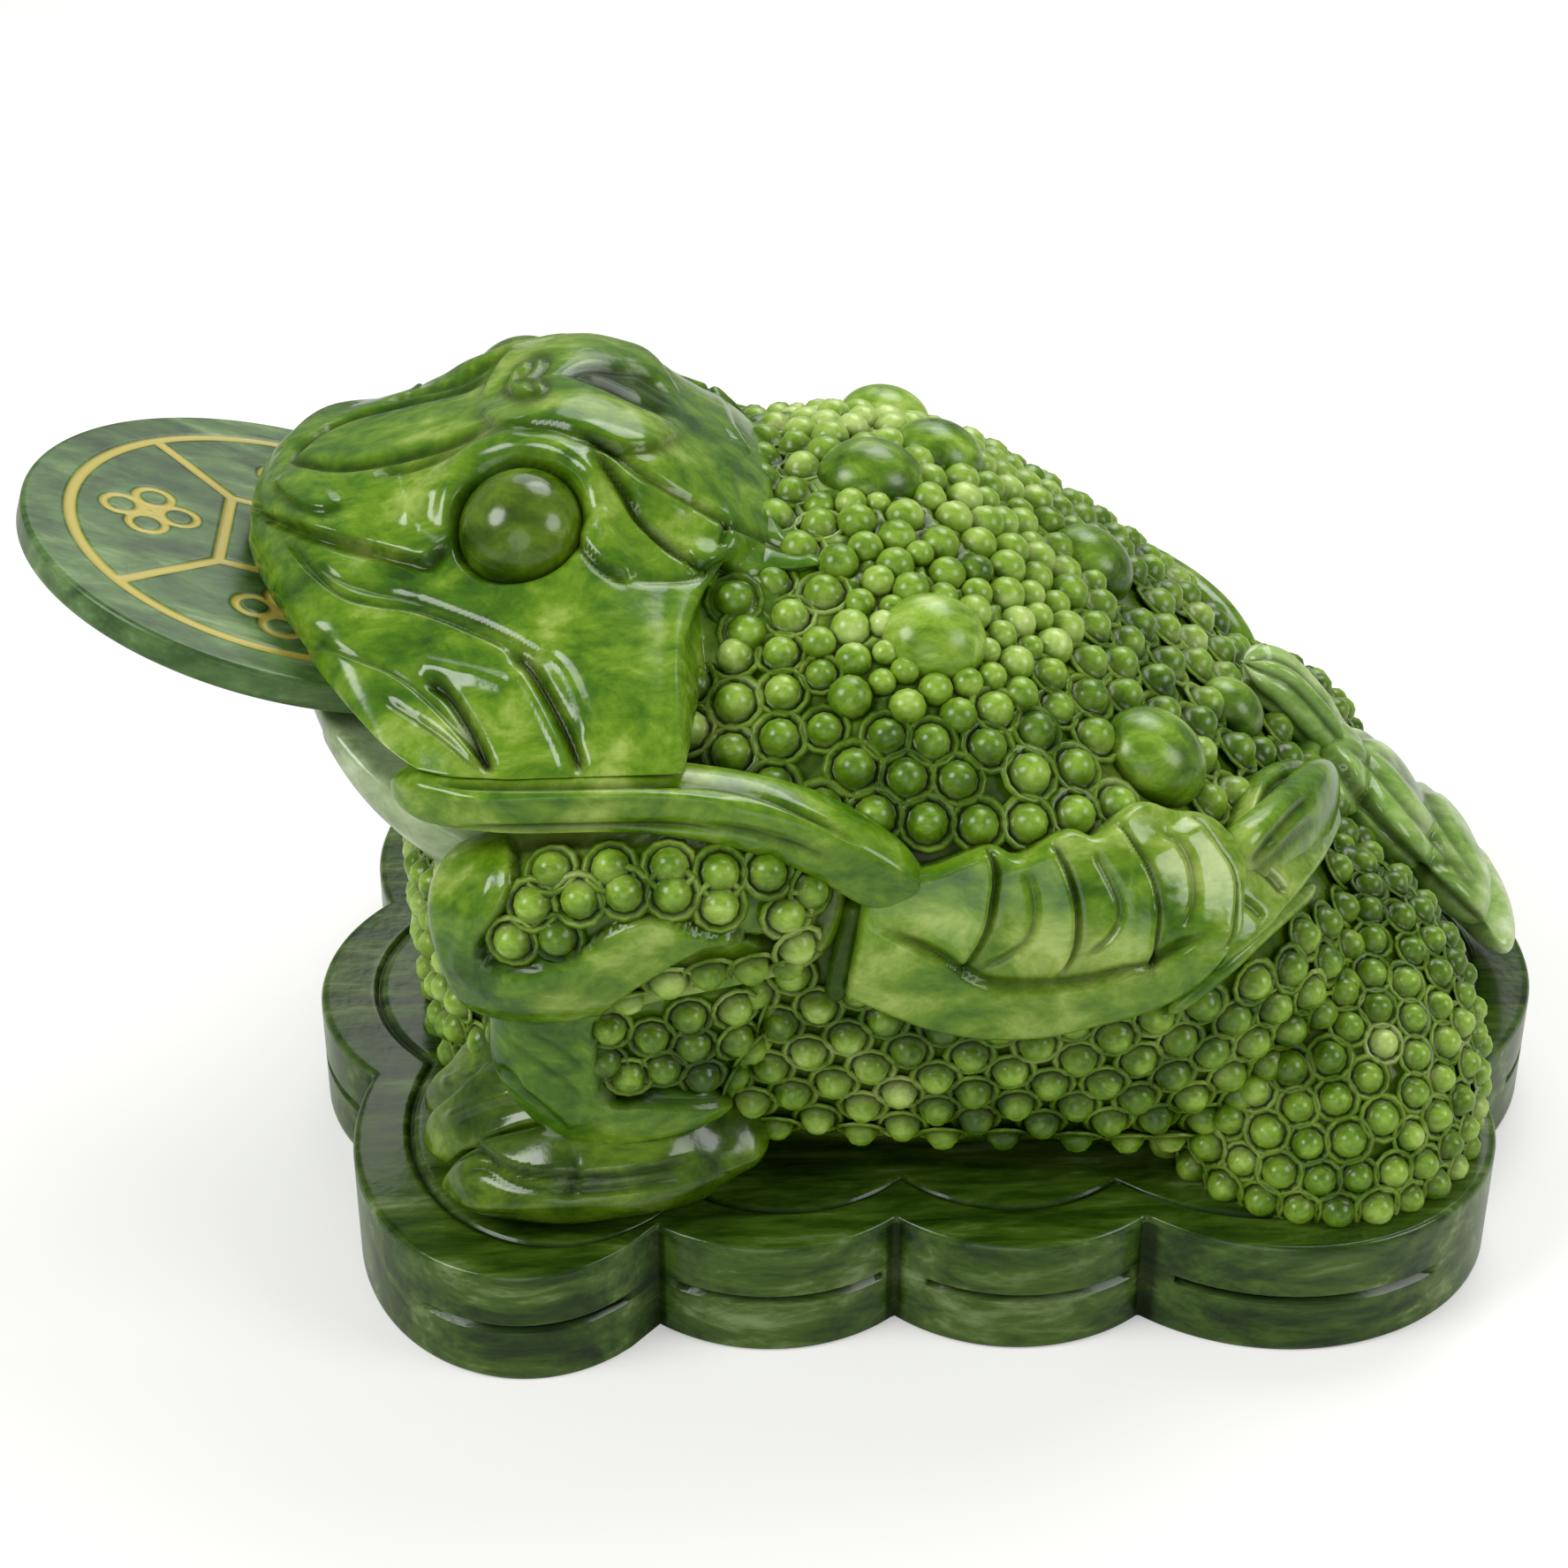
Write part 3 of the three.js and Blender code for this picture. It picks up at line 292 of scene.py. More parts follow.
# share of pit at each spot: 1 against a bead's foot, 0 on the web between beads, by distance over bead radius
def beadPits(p, centers, radii):
    flat = p.reshape(-1, 3)
    share = np.zeros(len(flat))
    for start in range(0, len(flat), chunk):
        part = flat[start:start + chunk]
        away = (part**2).sum(1)[:, None] + (centers**2).sum(1) - 2 * part @ centers.T
        share[start:start + chunk] = (np.sqrt(np.maximum(away, 0)) / radii).min(1)
    return 1 - ramp((share.reshape(p.shape[:-1]) - pitRule["start"]) / pitRule["run"])


# the other side's copy of a block
def mirrorBlock(block):
    return {**block, "verts": block["verts"] * [1, -1, 1], "faces": [face[::-1] for face in block["faces"]]}


weld = 0.004 * mm  # vertices closer than this are one


# joins blocks into one mesh, closes seams and poles, and hands the piece to the frame
def makePiece(name, blocks, material, body="toad", replaced=()):
    verts = (np.concatenate([block["verts"] for block in blocks]) + [0, 0, datum]) * mm
    starts = np.cumsum([0] + [len(block["verts"]) for block in blocks])
    faces = [[k + int(s) for k in face] for block, s in zip(blocks, starts) for face in block["faces"]]
    mesh = bpy.data.meshes.new(name)
    mesh.from_pydata(verts.tolist(), [], faces)
    for key in [k for k in blocks[0] if k not in ("verts", "faces")]:
        values = np.concatenate([block[key] for block in blocks]).astype(np.float32)
        mesh.attributes.new(key, "FLOAT", "POINT").data.foreach_set("value", values)
    work = bmesh.new()
    work.from_mesh(mesh)
    bmesh.ops.remove_doubles(work, verts=work.verts, dist=weld)
    bmesh.ops.dissolve_degenerate(work, edges=work.edges, dist=weld / 2)
    bmesh.ops.recalc_face_normals(work, faces=work.faces)
    work.to_mesh(mesh)
    work.free()
    mesh.polygons.foreach_set("use_smooth", np.ones(len(mesh.polygons), bool))
    mesh.materials.append(material)
    piece = bpy.data.objects.new(name, mesh)
    bpy.context.scene.collection.objects.link(piece)
    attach(piece, body)
    if replaced:
        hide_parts(*replaced)
    print("made", name, len(mesh.polygons), "faces")


# both sides of a member made for the left, in place of its two nodes
def makePair(name, node, blocks, material):
    for side, made in (("left", blocks), ("right", [mirrorBlock(block) for block in blocks])):
        makePiece(side + name, made, material, replaced=(f"{side}_{node}",) if node else ())


pathStep = 0.01  # share of a limb's path over which its direction is taken


# limb: superellipse sections carried along a path, rounded off at both ends, flat where it stands.
# a row gives a section's middle in x, y and z, its width across and its height towards up
def limbGrid(rows, up, along, around, power=2.0, blunt=0.12):
    rows = np.array(rows, float)
    path, share = rows[:, :3], np.linspace(0, 1, len(rows))
    u = 0.5 - 0.5 * np.cos(np.pi * np.linspace(0, 1, along))
    center = alongPath(path, u)
    ahead, behind = (alongPath(path, np.clip(u + step, 0, 1)) for step in (pathStep, -pathStep))
    forward = toUnit(ahead - behind)
    side = toUnit(np.cross(forward, up))
    above = np.cross(side, forward)
    wide, tall = (alongTable(np.stack([share, rows[:, k]], 1), u) / 2 for k in (3, 4))
    nearEnd = np.clip((np.abs(u - 0.5) - 0.5 + blunt) / blunt, 0, 1)
    closing = np.sqrt(np.maximum(1 - nearEnd**2, 0))
    turn = circle(around)
    across, rise = signedPower(np.cos(turn), 2 / power), signedPower(np.sin(turn), 2 / power)
    p = center[:, None] + (side * (wide * closing)[:, None])[:, None] * across[None, :, None]
    p = p + (above * (tall * closing)[:, None])[:, None] * rise[None, :, None]
    p[..., 2] = np.maximum(p[..., 2], seat)
    return p


# linear colour of an sRGB hex: v / 12.92 near black, otherwise ((v + 0.055) / 1.055)^2.4
def hexColour(text):
    srgb = np.array([int(text[i:i + 2], 16) / 255 for i in (1, 3, 5)])
    linear = np.where(srgb <= 0.04045, srgb / 12.92, ((srgb + 0.055) / 1.055) ** 2.4)
    return (*linear.tolist(), 1.0)


# adds a node with its settings, input values and links
def addNode(tree, kind, settings=None, values=None, links=None):
    node = tree.nodes.new(kind)
    for key, value in (settings or {}).items():
        setattr(node, key, value)
    for key, value in (values or {}).items():
        node.inputs[key].default_value = value
    for key, (source, output) in (links or {}).items():
        tree.links.new(source.outputs[output], node.inputs[key])
    return node


# empty material and its node tree
def newMaterial(name):
    material = bpy.data.materials.new(name)
    material.use_nodes = True
    material.node_tree.nodes.clear()
    return material, material.node_tree


# noise whose features are size millimetres wide
def addNoise(tree, source, size, detail, roughness=0.5, distortion=0.0):
    values = {"Scale": 1 / (size * mm), "Detail": detail, "Roughness": roughness, "Distortion": distortion}
    return addNode(tree, "ShaderNodeTexNoise", values=values, links={"Vector": source})


# polished serpentine jade: mottled greens with paler clouds, a waxy gloss, and painted shade: where the
# paintedShade attribute marks recesses and undersides, a dark green is mixed in and the gloss is dimmed
def serpentine(name, look):
    material, tree = newMaterial(name)
    place = addNode(tree, "ShaderNodeTexCoord")
    stretched = addNode(tree, "ShaderNodeMapping", values={"Scale": look["stretch"], "Rotation": look["turn"]},
                        links={"Vector": (place, "Object")})
    cloud, fleck = (addNoise(tree, (stretched, "Vector"), look[key], *look[key + "Noise"])
                    for key in ("cloud", "fleck"))
    paintedShade, tint = (addNode(tree, "ShaderNodeAttribute", {"attribute_name": key}) for key in ("paintedShade", "tint"))
    clouds = addNode(tree, "ShaderNodeMath", {"operation": "MULTIPLY"}, {1: look["cloudShare"]}, {0: (cloud, "Fac")})
    both = addNode(tree, "ShaderNodeMath", {"operation": "MULTIPLY_ADD"}, {1: look["fleckShare"]},
                   {0: (fleck, "Fac"), 2: (clouds, "Value")})
    shifted = addNode(tree, "ShaderNodeMath", {"operation": "MULTIPLY_ADD"}, {1: look["tintShare"]},
                      {0: (tint, "Fac"), 2: (both, "Value")})
    greens = addNode(tree, "ShaderNodeValToRGB", links={"Fac": (shifted, "Value")})
    stops = greens.color_ramp.elements
    while len(stops) < len(look["greens"]):
        stops.new(0.5)
    for stop, (at, colour) in zip(stops, look["greens"]):
        stop.position = at + look["tintShare"] / 2
        stop.color = hexColour(colour)
    # painted shade: the look's dark green mixed over the greens by the paintedShade attribute
    paintedShadeMix = addNode(tree, "ShaderNodeMix", {"data_type": "RGBA"}, {"B": hexColour(look["paintedShade"])},
                     {"Factor": (paintedShade, "Fac"), "A": (greens, "Color")})
    # roughness follows the flecks; the gloss falls from its first value to its second under full painted shade
    wax, sheen = (addNode(tree, "ShaderNodeMapRange", values={"To Min": look[key][0], "To Max": look[key][1]},
                          links={"Value": (source, "Fac")}) for key, source in (("rough", fleck), ("gloss", paintedShade)))
    grain = addNoise(tree, (place, "Object"), look["grain"], look["grainDetail"])
    bump = addNode(tree, "ShaderNodeBump", values={"Strength": look["bump"], "Distance": look["grainDepth"] * mm},
                   links={"Height": (grain, "Fac")})
    shader = addNode(tree, "ShaderNodeBsdfPrincipled",
                     values={"IOR": look["ior"], "Subsurface Weight": look["glow"],
                             "Subsurface Radius": look["scatter"], "Subsurface Scale": look["scatterDepth"] * mm},
                     links={"Base Color": (paintedShadeMix, "Result"), "Roughness": (wax, "Result"), "Normal": (bump, "Normal"),
                            "Specular IOR Level": (sheen, "Result")})
    addNode(tree, "ShaderNodeOutputMaterial", links={"Surface": (shader, "BSDF")})
    return material


# paintedShade is the colour of the painted shade in recesses; gloss runs from its value in the open to its value under
# full painted shade
jadeLook = {
    "stretch": (0.7, 1.0, 1.0), "turn": (0.0, 0.3, 0.2), "cloud": 24.0, "fleck": 6.0, "tintShare": 0.1,
    "greens": [(0.37, "#244802"), (0.46, "#436c08"), (0.54, "#668a18"), (0.66, "#a0b558")],
    "cloudNoise": (5.0, 0.62, 0.9), "fleckNoise": (6.0, 0.68, 0.4), "cloudShare": 0.55, "fleckShare": 0.45,
    "paintedShade": "#0a1600", "rough": (0.1, 0.24), "gloss": (0.37, 0.05), "bump": 0.1, "grain": 2.4, "grainDepth": 0.5,
    "grainDetail": 3.0, "ior": 1.57, "glow": 0.12, "scatter": (0.7, 1.0, 0.25), "scatterDepth": 2.2,
}
beadLook = {**jadeLook, "tintShare": 0.16, "fleck": 4.5, "rough": (0.18, 0.34),
            "greens": [(0.37, "#335406"), (0.46, "#5b8012"), (0.55, "#87aa34"), (0.67, "#bbd079")]}
paleLook = {**jadeLook, "greens": [(0.37, "#5a832c"), (0.46, "#82a64c"), (0.55, "#a6c276"), (0.66, "#d2dfb6")]}
darkLook = {**jadeLook, "greens": [(0.37, "#223a01"), (0.46, "#3d5906"), (0.55, "#5d7914"), (0.66, "#90a54a")]}
plinthLook = {**jadeLook, "stretch": (0.35, 1.6, 1.6), "cloud": 16.0, "fleck": 5.0, "turn": (0.1, 0.15, 0.5),
              "gloss": (0.3, 0.05),
              "greens": [(0.37, "#142603"), (0.46, "#2a440b"), (0.55, "#455f19"), (0.66, "#788b58")]}
coinLook = {**jadeLook, "stretch": (0.5, 1.5, 1.5), "cloud": 18.0, "turn": (0.0, 0.0, 0.8), "rough": (0.24, 0.4),
            "gloss": (0.3, 0.05), "gold": "#b3a548", "leafEdge": 0.12,
            "greens": [(0.37, "#1f3a14"), (0.46, "#365422"), (0.55, "#507038"), (0.66, "#7d9660")]}
# a paler, greyer copy of the jade, worn by the lower jaw: a painted reflection of the white backdrop
greyLook = {**jadeLook, "greens": [(0.37, "#5e7048"), (0.46, "#809368"), (0.55, "#a0b286"), (0.66, "#c6d2b0")]}
jade = serpentine("serpentine_jade_polished", jadeLook)
greyJade = serpentine("serpentine_jade_grey", greyLook)
beadJade = serpentine("serpentine_jade_bead", beadLook)
darkJade = serpentine("serpentine_jade_dark", darkLook)
paleJade = serpentine("serpentine_jade_pale", paleLook)
plinthJade = serpentine("serpentine_jade_banded", plinthLook)
print("materials ready")

# edge lobes give place along x, half sizes along and across, and inset; end lobes give their end and radius
plinthShape = {
    "halfLength": 100.0, "halfWidth": 76.5, "height": 15.5, "foot": -4.0, "core": (0.72, 0.8), "middle": 4.0,
    "edgeLobes": [(-66.0, 26.5, 36.0, 1.0), (-29.0, 27.0, 27.0, 5.0), (8.0, 27.0, 27.0, 3.0),
                  (49.0, 34.0, 33.0, 0.0)],
    "endLobes": [(-1, 36.0), (1, 43.5)],
    # bands of the top from the rim inwards, narrow at the rim and at the engraved ring
    "inward": [0.0, 0.3, 0.6, 0.9, 1.4, 2.2, 3.5, 5.5, *np.linspace(7.4, 11.6, 15), 14, 18, 24, 32],
    "ringInset": 9.5, "ringWidth": 0.55, "ringDepth": 0.7, "ringShade": 0.75, "edgeRound": 0.9, "footRound": 0.6,
    "slitHeight": 1.6, "slitDepth": 2.6, "slitSpan": 0.62, "slitEnd": 0.12, "slitLip": 0.15,
    "valley": 0.25, "valleyRun": 0.8, "valleyShade": 0.7, "kinkStep": 3, "around": 760,
    # rows of the wall: their count above, inside and below the slit, and how far they keep from its edges and the ends
    "wallRows": 10, "slotRows": 5, "wallStart": 0.5, "slotStart": 0.1, "wallTop": 1.2, "wallFoot": 0.9,
    "footRows": (0.5, 0.2, 0.0),
}


# plinth: a polar sheet under an outline of overlapping lobes, with an engraved ring and a slit round each lobe.
# the outline is the farthest crossing of each ray from the middle with the lobes' ellipses
def plinthPiece():
    shape = plinthShape
    turn = circle(shape["around"])
    ray = np.stack([np.cos(turn), np.sin(turn)], -1)
    lobes = [(x, side * (shape["halfWidth"] - inset - across), along, across, side * 90.0)
             for x, along, across, inset in shape["edgeLobes"] for side in (-1, 1)]
    lobes += [(side * (shape["halfLength"] - r), 0.0, r, r, 90.0 - side * 90.0) for side, r in shape["endLobes"]]
    reach = np.minimum(shape["core"][0] * shape["halfLength"] / np.maximum(np.abs(ray[:, 0]), 1e-6),
                       shape["core"][1] * shape["halfWidth"] / np.maximum(np.abs(ray[:, 1]), 1e-6))
    slit = np.zeros(len(turn))
    for x, y, rx, ry, faces in lobes:
        a = (ray[:, 0] / rx) ** 2 + (ray[:, 1] / ry) ** 2
        b = -2 * (ray[:, 0] * x / rx**2 + ray[:, 1] * y / ry**2)
        c = (x / rx) ** 2 + (y / ry) ** 2 - 1
        root = b**2 - 4 * a * c
        far = np.where(root > 0, (-b + np.sqrt(np.maximum(root, 0))) / (2 * a), 0)
        own = far > reach
        spot = ray * far[:, None] - [x, y]
        aim = np.degrees(np.arctan2(spot[:, 1] / ry, spot[:, 0] / rx)) - faces
        aim = np.abs((aim + 180) % 360 - 180) / math.degrees(shape["slitSpan"])
        slit = np.where(own, ramp((1 - aim) / shape["slitEnd"]), slit)
        reach = np.maximum(reach, far)
    inward = np.array(shape["inward"])[:, None] * np.ones_like(turn)
    corner = shape["edgeRound"]
    drop = corner - np.sqrt(np.maximum(corner**2 - np.maximum(corner - inward, 0) ** 2, 0))
    ring = np.exp(-(((inward - shape["ringInset"]) / shape["ringWidth"]) ** 2))
    topZ = shape["height"] - drop - shape["ringDepth"] * ring
    radius = np.maximum(reach - inward, shape["middle"])
    top = np.stack([radius * ray[:, 0], radius * ray[:, 1], topZ], -1)[::-1]
    pole = np.zeros((1, len(turn), 3))
    half, lip = shape["slitHeight"] / 2, shape["slitLip"]
    mid = (shape["height"] + shape["foot"]) / 2
    away, rows, inside = half + shape["wallStart"], shape["wallRows"], half - shape["slotStart"]
    upper = [*np.linspace(shape["height"] - mid - shape["wallTop"], away, rows), half + lip, half]
    slot = np.linspace(inside, -inside, shape["slotRows"])
    lower = [-half, -half - lip, *np.linspace(-away, shape["foot"] - mid + shape["wallFoot"], rows)]
    wallZ = np.concatenate([mid + np.array([*upper, *slot, *lower]), shape["foot"] + np.array(shape["footRows"])])
    within = (np.abs(wallZ - mid) < half - shape["slotStart"] / 2).astype(float)
    foot = np.maximum(shape["foot"] + shape["footRound"] - wallZ, 0)
    kink = np.roll(reach, -shape["kinkStep"]) - 2 * reach + np.roll(reach, shape["kinkStep"])
    valley = ramp((kink - shape["valley"]) / shape["valleyRun"])
    wallR = reach[None] - within[:, None] * shape["slitDepth"] * slit[None] - foot[:, None]
    wall = np.stack([wallR * ray[:, 0], wallR * ray[:, 1], wallZ[:, None] + 0 * turn], -1)
    p = np.concatenate([pole + [0, 0, shape["height"]], top, wall, pole + [0, 0, shape["foot"]]])
    # painted shade inside the slits, in the valleys where lobes meet, and along the engraved ring
    flatShade = np.zeros((1, len(turn)))
    wallShade = within[:, None] * slit[None] + shape["valleyShade"] * valley[None]
    paintedShade = np.concatenate([flatShade, shape["ringShade"] * ring[::-1], wallShade, flatShade])
    makePiece("plinthCarved", [gridBlock(p, np.clip(paintedShade, 0, 1))], plinthJade, replaced=("plinth",))


plinthPiece()

# top, half width and widest height of the trunk against x
trunkShape = {
    "front": -84.0, "rear": 80.0, "frontRun": 36.0, "squareness": 2.05, "belly": 17.0, "bellyHalf": 40.0,
    "arc": 0.645, "tailPower": 1.15,
    "top": [(-84, 48), (-82, 56), (-76, 66), (-62, 86), (-43, 102), (-27, 107), (-14, 108), (0, 105), (18, 94),
            (32, 83.5), (47, 70.5), (62, 54), (72, 41), (80, 28)],
    "half": [(-84, 0), (-82.5, 18), (-80, 30), (-76, 42), (-62, 56), (-43, 62), (-27, 65), (0, 68), (18, 68),
             (32, 66), (47, 60), (62, 46), (72, 29), (78, 13), (80, 0)],
    "waist": [(-84, 48), (-76, 52), (-62, 58), (-40, 62), (0, 60), (32, 54), (62, 40), (80, 28)],
    "frontRows": 28, "rows": 216, "around": 392, "under": 10,
}


# trunk: superellipse sections, closer together at the front and rear, cut flat where they stand on the plinth
def trunkGrid():
    shape = trunkShape
    lead = np.linspace(0, 1, shape["frontRows"], endpoint=False)
    tail = np.linspace(0, 1, shape["rows"])
    start = shape["front"] + shape["frontRun"]
    x = np.concatenate([shape["front"] + shape["frontRun"] * (1 - np.cos(lead * np.pi / 2)),
                        start + (shape["rear"] - start) * np.sin(tail * np.pi / 2) ** shape["tailPower"]])
    half, top, waist = (alongTable(shape[key], x)[:, None] for key in ("half", "top", "waist"))
    upper = np.linspace(-shape["arc"], shape["arc"], shape["around"]) * np.pi
    under = np.linspace(shape["arc"], 2 - shape["arc"], shape["under"])[1:-1] * np.pi
    turn = np.concatenate([upper, under])
    rise = np.abs(np.cos(turn)) ** (2 / shape["squareness"])
    belly = (waist + shape["belly"]) * np.minimum(half / shape["bellyHalf"], 1)
    z = np.where(np.cos(turn) >= 0, waist + (top - waist) * rise, waist - belly * rise)
    y = half * signedPower(np.sin(turn), 2 / shape["squareness"])
    return np.stack([x[:, None] + 0 * y, y, np.maximum(z, seat)], -1)


trunk = trunkGrid()
trunkOut = gridNormals(trunk)


# height of the trunk's skin over a point of the plan
def backHeight(x, y):
    half, top, waist = (alongTable(trunkShape[key], x) for key in ("half", "top", "waist"))
    share = np.clip(np.abs(y) / half, 0, 1)
    return waist + (top - waist) * (1 - share ** trunkShape["squareness"]) ** (1 / trunkShape["squareness"])


# large smooth warts: x, y, radius and tint on the back, and shares of the radius
wartShape = {
    "spots": [(-11, -3, 7.5, 0.2), (1, 13, 6.9, 0.35), (24, 2, 6.9, 0.25), (-5, -38, 7.1, 0.75), (27, -42, 7.9, 0.05),
              (44, -15, 5.4, 0.45), (-5, 38, 7.1, 0.75)],
    "sink": 1.5, "long": 1.08, "rise": 0.85, "seat": 0.12, "shadeFrom": 0.35, "shadeRun": 0.5, "shade": 0.8,
    "grid": (40, 56),
}
wartX, wartY, wartRadii, wartTints = np.array(wartShape["spots"], float).T
wartCenters = np.stack([wartX, wartY, backHeight(wartX, wartY) - wartShape["sink"]], -1)

# bare skin that runs back from the temple to a point between the beads, in photo pixels
templeSkin = {
    "upper": [(772, 496), (815, 494), (848, 502), (862, 540), (885, 598), (930, 632)],
    "lower": [(772, 668), (805, 664), (832, 659), (862, 652), (896, 646), (933, 640)],
    "headEnd": 824, "blend": 46.0, "rise": [(0, 0.2), (0.4, 0.5), (0.75, 0.7), (1, 0.2)], "edge": 2.6,
    "along": 130, "across": 80, "sink": 1.4, "thick": 0.6, "passes": 40,
}

# bead cover of the trunk: rows start at the cheek and at the collar and string, and fill upwards
coverShape = {
    "upperEdge": [(-60, 88), (-40, 86), (-34, 84.5), (-26, 80), (-14, 78.5), (4, 77), (22, 75.5), (33, 71.5),
                  (45, 65), (55, 56), (66, 40), (80, 20)],
    "lowerEdge": [(-84, 84), (-66, 84), (-56, 62), (-40, 56), (-19, 60), (-1, 53), (10, 50), (23, 52), (36, 55),
                  (45, 56), (80, 56)],
    "cheekEdge": [(80, -41), (92, -40.5), (100, -38), (106, -31), (110, -27)],
    "farDrop": 9.0, "farSpan": (-30, 58), "farRun": 12,  # the far string lies lower, and the edges along it with it
    "chest": -83.9, "rump": 62, "wartRoom": 0.86, "edgeRoom": 0.9, "bareSteps": 30,
    "bigBead": 3.6, "smallBead": 2.5, "lowBead": 3.2, "spread": 0.03, "fineSpread": 0.1, "mostSpread": 1.6,
    "gap": 0.1, "fineGap": -0.45, "lowGap": 0.05, "rowStep": 0.45, "rowTie": 0.001,
    "ground": 2.3, "fineGround": 0.9, "dome": 0.8, "fineDome": 0.12, "plainDome": 1.01, "sink": 1.4, "fineSink": 1.7,
    "groundShade": 0.6, "fineShade": 0.2, "pitShade": 0.5, "tint": 0.48, "fineTint": 0.5, "tintSpread": 0.14,
    "fineHeight": 84, "heightRun": 14, "fineStart": -32, "startRun": 18, "plainLow": 0.65, "plainSpan": 0.6,
    "plainFrom": 0.6, "sinkSpread": 0.3, "sinkSpan": (-1, 1.2), "mostTint": 1.2, "seatRoom": 0.8, "seatRow": 0.4,
    "rowStart": -90,
}


# midpoints of a grid's cells in both directions, so that packing has finer places to choose from
def finerGrid(p):
    p = np.stack([p[:-1], 0.5 * (p[:-1] + p[1:])], 1).reshape(-1, *p.shape[1:])
    return np.stack([p[:, :-1], 0.5 * (p[:, :-1] + p[:, 1:])], 2).reshape(p.shape[0], -1, 3)


# greedy packing: candidates in row order, kept where they clear every bead and block already kept
def packBeads(spots, radii, gaps, order, blocks):
    most = len(blocks) + len(order)
    places, sizes = np.zeros((most, 3)), np.zeros(most)
    for i, block in enumerate(blocks):
        places[i], sizes[i] = block[:3], block[3]
    count, kept = len(blocks), []
    for i in order:
        away = places[:count] - spots[i]
        room = sizes[:count] + radii[i] + gaps[i]
        if count and ((away * away).sum(1) < room * room).any():
            continue
        places[count], sizes[count] = spots[i], radii[i]
        count += 1
        kept.append(i)
    return np.array(kept)


# share of the upper back, where the beads are finer and run together: a ramp in height times a ramp along x
def fineShare(x, z):
    shape = coverShape
    return ramp((z - shape["fineHeight"]) / shape["heightRun"]) * ramp((x - shape["fineStart"]) / shape["startRun"])


# bead cover: sizes and gaps go from big to fine with fineShare, rows are packed from the edges upwards, and the
# ground between the beads lies lower than the trunk's own skin
def trunkPieces():
    shape = coverShape
    dense, denseOut = finerGrid(trunk), finerGrid(trunkOut)
    flat, out = dense.reshape(-1, 3), denseOut.reshape(-1, 3)
    x, y, z = flat.T
    start, end = shape["farSpan"]
    drop = shape["farDrop"] * (y > 0) * ramp((x - start) / shape["farRun"]) * ramp((end - x) / shape["farRun"])
    upperEdge, lowerEdge = (alongTable(shape[key], x) - drop for key in ("upperEdge", "lowerEdge"))
    heights = [height for height, _ in shape["cheekEdge"]]
    cheekEdge = alongTable(shape["cheekEdge"], np.clip(z, heights[0], heights[-1]))
    above = (z > upperEdge) & (x > cheekEdge)
    below = (z < lowerEdge) & (z > seat + shape["seatRoom"]) & (x > shape["chest"]) & (x < shape["rump"])
    fine = fineShare(x, z)
    radii = shape["bigBead"] + (shape["smallBead"] - shape["bigBead"]) * fine
    noise = rng.standard_normal(len(flat)).clip(-shape["mostSpread"], shape["mostSpread"])
    radii *= 1 + (shape["spread"] + shape["fineSpread"] * fine) * noise
    radii = np.where(below, shape["lowBead"], radii)
    gaps = np.where(above, shape["gap"] + (shape["fineGap"] - shape["gap"]) * fine, shape["lowGap"])
    fromEdge = np.where(above, z - upperEdge, z - seat - shape["seatRow"])
    key = np.floor((fromEdge - radii) / shape["rowStep"]) + shape["rowTie"] * (x - shape["rowStart"])
    steps = np.linspace(0, 1, shape["bareSteps"])
    outline = np.concatenate([alongPath(templeSkin["upper"], steps), alongPath(templeSkin["lower"], steps[::-1])])
    bare = insideLine(toPhoto(flat), outline)
    usable = np.nonzero((above | below) & ~bare & (fromEdge > radii * shape["edgeRoom"]))[0]
    order = usable[np.argsort(key[usable], kind="stable")]
    blocks = [(*c, shape["wartRoom"] * r) for c, r in zip(wartCenters, wartRadii)]
    kept = packBeads(flat, radii, gaps, order, blocks)
    centers, normals, share = flat[kept], toUnit(out[kept]), fine[kept]
    plain = share * (shape["plainLow"] + shape["plainSpan"] * rng.random(len(kept))) > shape["plainFrom"]
    sizes = radii[kept] * np.where(plain, shape["plainDome"], shape["dome"] + shape["fineDome"] * share)
    print("trunk beads", len(kept), "of them ringed", int((~plain).sum()))
    fineGround = fineShare(trunk[..., 0], trunk[..., 2])
    pit = beadPits(trunk, centers, sizes)
    sink = shape["ground"] * (1 - fineGround) + (shape["fineGround"] + pit) * fineGround
    grid = trunk - trunkOut * sink[..., None]
    grid[..., 2] = np.maximum(grid[..., 2], seat)
    # painted shade on the ground between the beads, darker in the pits at their feet on the upper back
    paintedShade = shape["groundShade"] * (1 - fineGround) + (shape["fineShade"] + shape["pitShade"] * pit) * fineGround
    makePiece("trunkGround", [gridBlock(grid, paintedShade)], beadJade, replaced=("body",))
    tints = beadTints(shape["tint"] + shape["fineTint"] * share, shape["tintSpread"], len(kept), shape["mostTint"])
    depths = shape["fineSink"] + shape["sinkSpread"] * rng.standard_normal(len(kept)).clip(*shape["sinkSpan"])
    sunk = np.where(plain, depths, shape["sink"])
    places = centers - normals * sunk[:, None]
    blocks = [beadBlock(places[pick], normals[pick], sizes[pick], tints[pick], form)
              for pick, form in ((~plain, "ringed"), (plain, "plain"))]
    makePiece("trunkBeads", blocks, beadJade)


trunkPieces()


# ellipsoid grid, pole along +z
def sphereGrid(center, radii, along, around):
    polar = np.linspace(0, np.pi, along)[:, None]
    turn = circle(around)
    ball = np.stack([np.sin(polar) * np.cos(turn), np.sin(polar) * np.sin(turn), np.cos(polar) + 0 * turn], -1)
    return np.asarray(center) + ball * np.asarray(radii)


